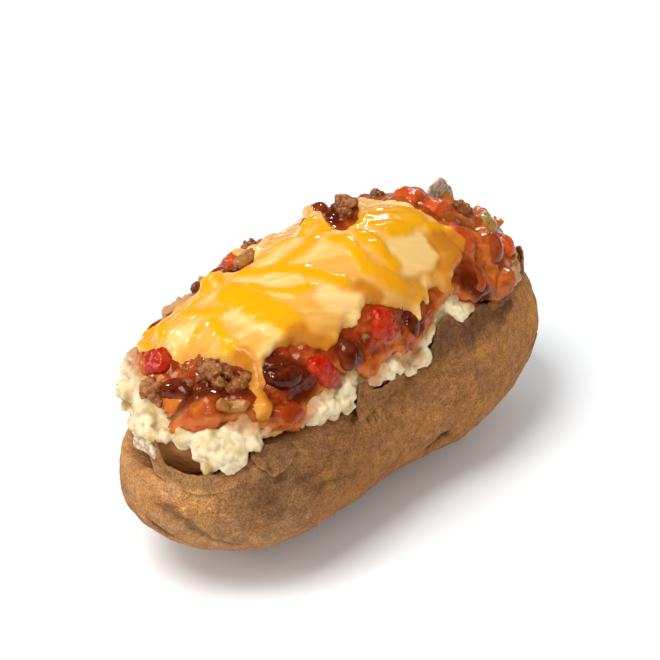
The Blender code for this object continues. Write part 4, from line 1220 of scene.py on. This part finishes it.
class POTATO_OT_stage(bpy.types.Operator):
    """Adds the pale floor, the soft lights and the camera"""
    bl_idname = "potato.stage"
    bl_label = "Stage"

    def execute(self, context):
        s = context.scene.potato_stage
        bpy.ops.object.select_all(action="DESELECT")
        bpy.ops.mesh.primitive_plane_add(size=6.0)
        floor = bpy.context.object
        floor.name = "floor"
        # Seamless paper: matt, with a faint tooth
        material, tree, place = new_material("seamless_paper")
        tooth = add(tree, "TexNoise", {"Vector": place, "Scale": 400.0, "Detail": 2.0})
        bump = add(tree, "Bump", {"Height": tooth, "Strength": 0.05, "Distance": 0.0002})
        shader = add(tree, "BsdfPrincipled", {
            "Base Color": s.floor, "Roughness": 0.9, "Normal": bump, "Specular IOR Level": 0.1})
        add(tree, "OutputMaterial", {"Surface": shader})
        floor.data.materials.append(material)
        world = bpy.data.worlds.new("studio")
        context.scene.world = world
        world.use_nodes = True
        sky = world.node_tree.nodes["Background"].inputs
        sky["Color"].default_value, sky["Strength"].default_value = SKY_COLOUR, SKY_STRENGTH
        # The sky and the broad lights shape the piece; three small ones only make it glint
        world.cycles_visibility.glossy = False
        for name, place, size, power, glint in LIGHTS:
            bpy.ops.object.light_add(type="AREA", location=place)
            light = bpy.context.object
            light.name = name
            light.data.size = size
            light.data.energy = s.key if name == "key" else power
            light.visible_diffuse = not glint
            light.visible_glossy = glint or name == "key"
            light.rotation_euler = (LIT_MIDDLE - Vector(place)).to_track_quat("-Z", "Y").to_euler()
        turn, height = math.radians(CAMERA_TURN), math.radians(CAMERA_HEIGHT)
        level = math.cos(height)
        back = Vector((math.sin(turn) * level, -math.cos(turn) * level, math.sin(height)))
        bpy.ops.object.camera_add(location=LOOKED_AT + back * CAMERA_DISTANCE)
        camera = bpy.context.object
        camera.rotation_euler = (-back).to_track_quat("-Z", "Y").to_euler()
        camera.data.lens = CAMERA_LENS
        camera.data.sensor_width = 36.0
        camera.data.clip_start = 0.01
        camera.data.clip_end = 20.0
        context.scene.camera = camera
        context.scene.view_settings.view_transform = "Standard"
        return {"FINISHED"}


class POTATO_PT_panel(bpy.types.Panel):
    """Lists the potato's pieces and their settings"""
    bl_idname = "POTATO_PT_panel"
    bl_label = "Baked Potato"
    bl_space_type = "VIEW_3D"
    bl_region_type = "UI"
    bl_category = "Baked Potato"

    def draw(self, context):
        for operator, group in zip(OPERATORS, GROUPS):
            box = self.layout.box()
            box.operator(operator.bl_idname)
            settings = getattr(context.scene, group)
            for name in settings.__annotations__:
                box.prop(settings, name)


OPERATORS = (POTATO_OT_jacket, POTATO_OT_flesh, POTATO_OT_chilli, POTATO_OT_cheese, POTATO_OT_toppings,
             POTATO_OT_stage)
GROUPS = {
    "potato_jacket": JacketSettings, "potato_flesh": FleshSettings, "potato_chilli": ChilliSettings,
    "potato_cheese": CheeseSettings, "potato_toppings": ToppingSettings, "potato_stage": StageSettings,
}


def register():
    for group in GROUPS.values():
        bpy.utils.register_class(group)
    for name, group in GROUPS.items():
        setattr(bpy.types.Scene, name, bpy.props.PointerProperty(type=group))
    for operator in (*OPERATORS, POTATO_PT_panel):
        bpy.utils.register_class(operator)


def unregister():
    for operator in (POTATO_PT_panel, *reversed(OPERATORS)):
        bpy.utils.unregister_class(operator)
    for name in GROUPS:
        delattr(bpy.types.Scene, name)
    for group in GROUPS.values():
        bpy.utils.unregister_class(group)


def main():
    register()
    bpy.ops.potato.jacket()
    bpy.ops.potato.flesh()
    bpy.ops.potato.chilli()
    bpy.ops.potato.cheese()
    bpy.ops.potato.toppings()
    bpy.ops.potato.stage()


if __name__ == "__main__":
    main()
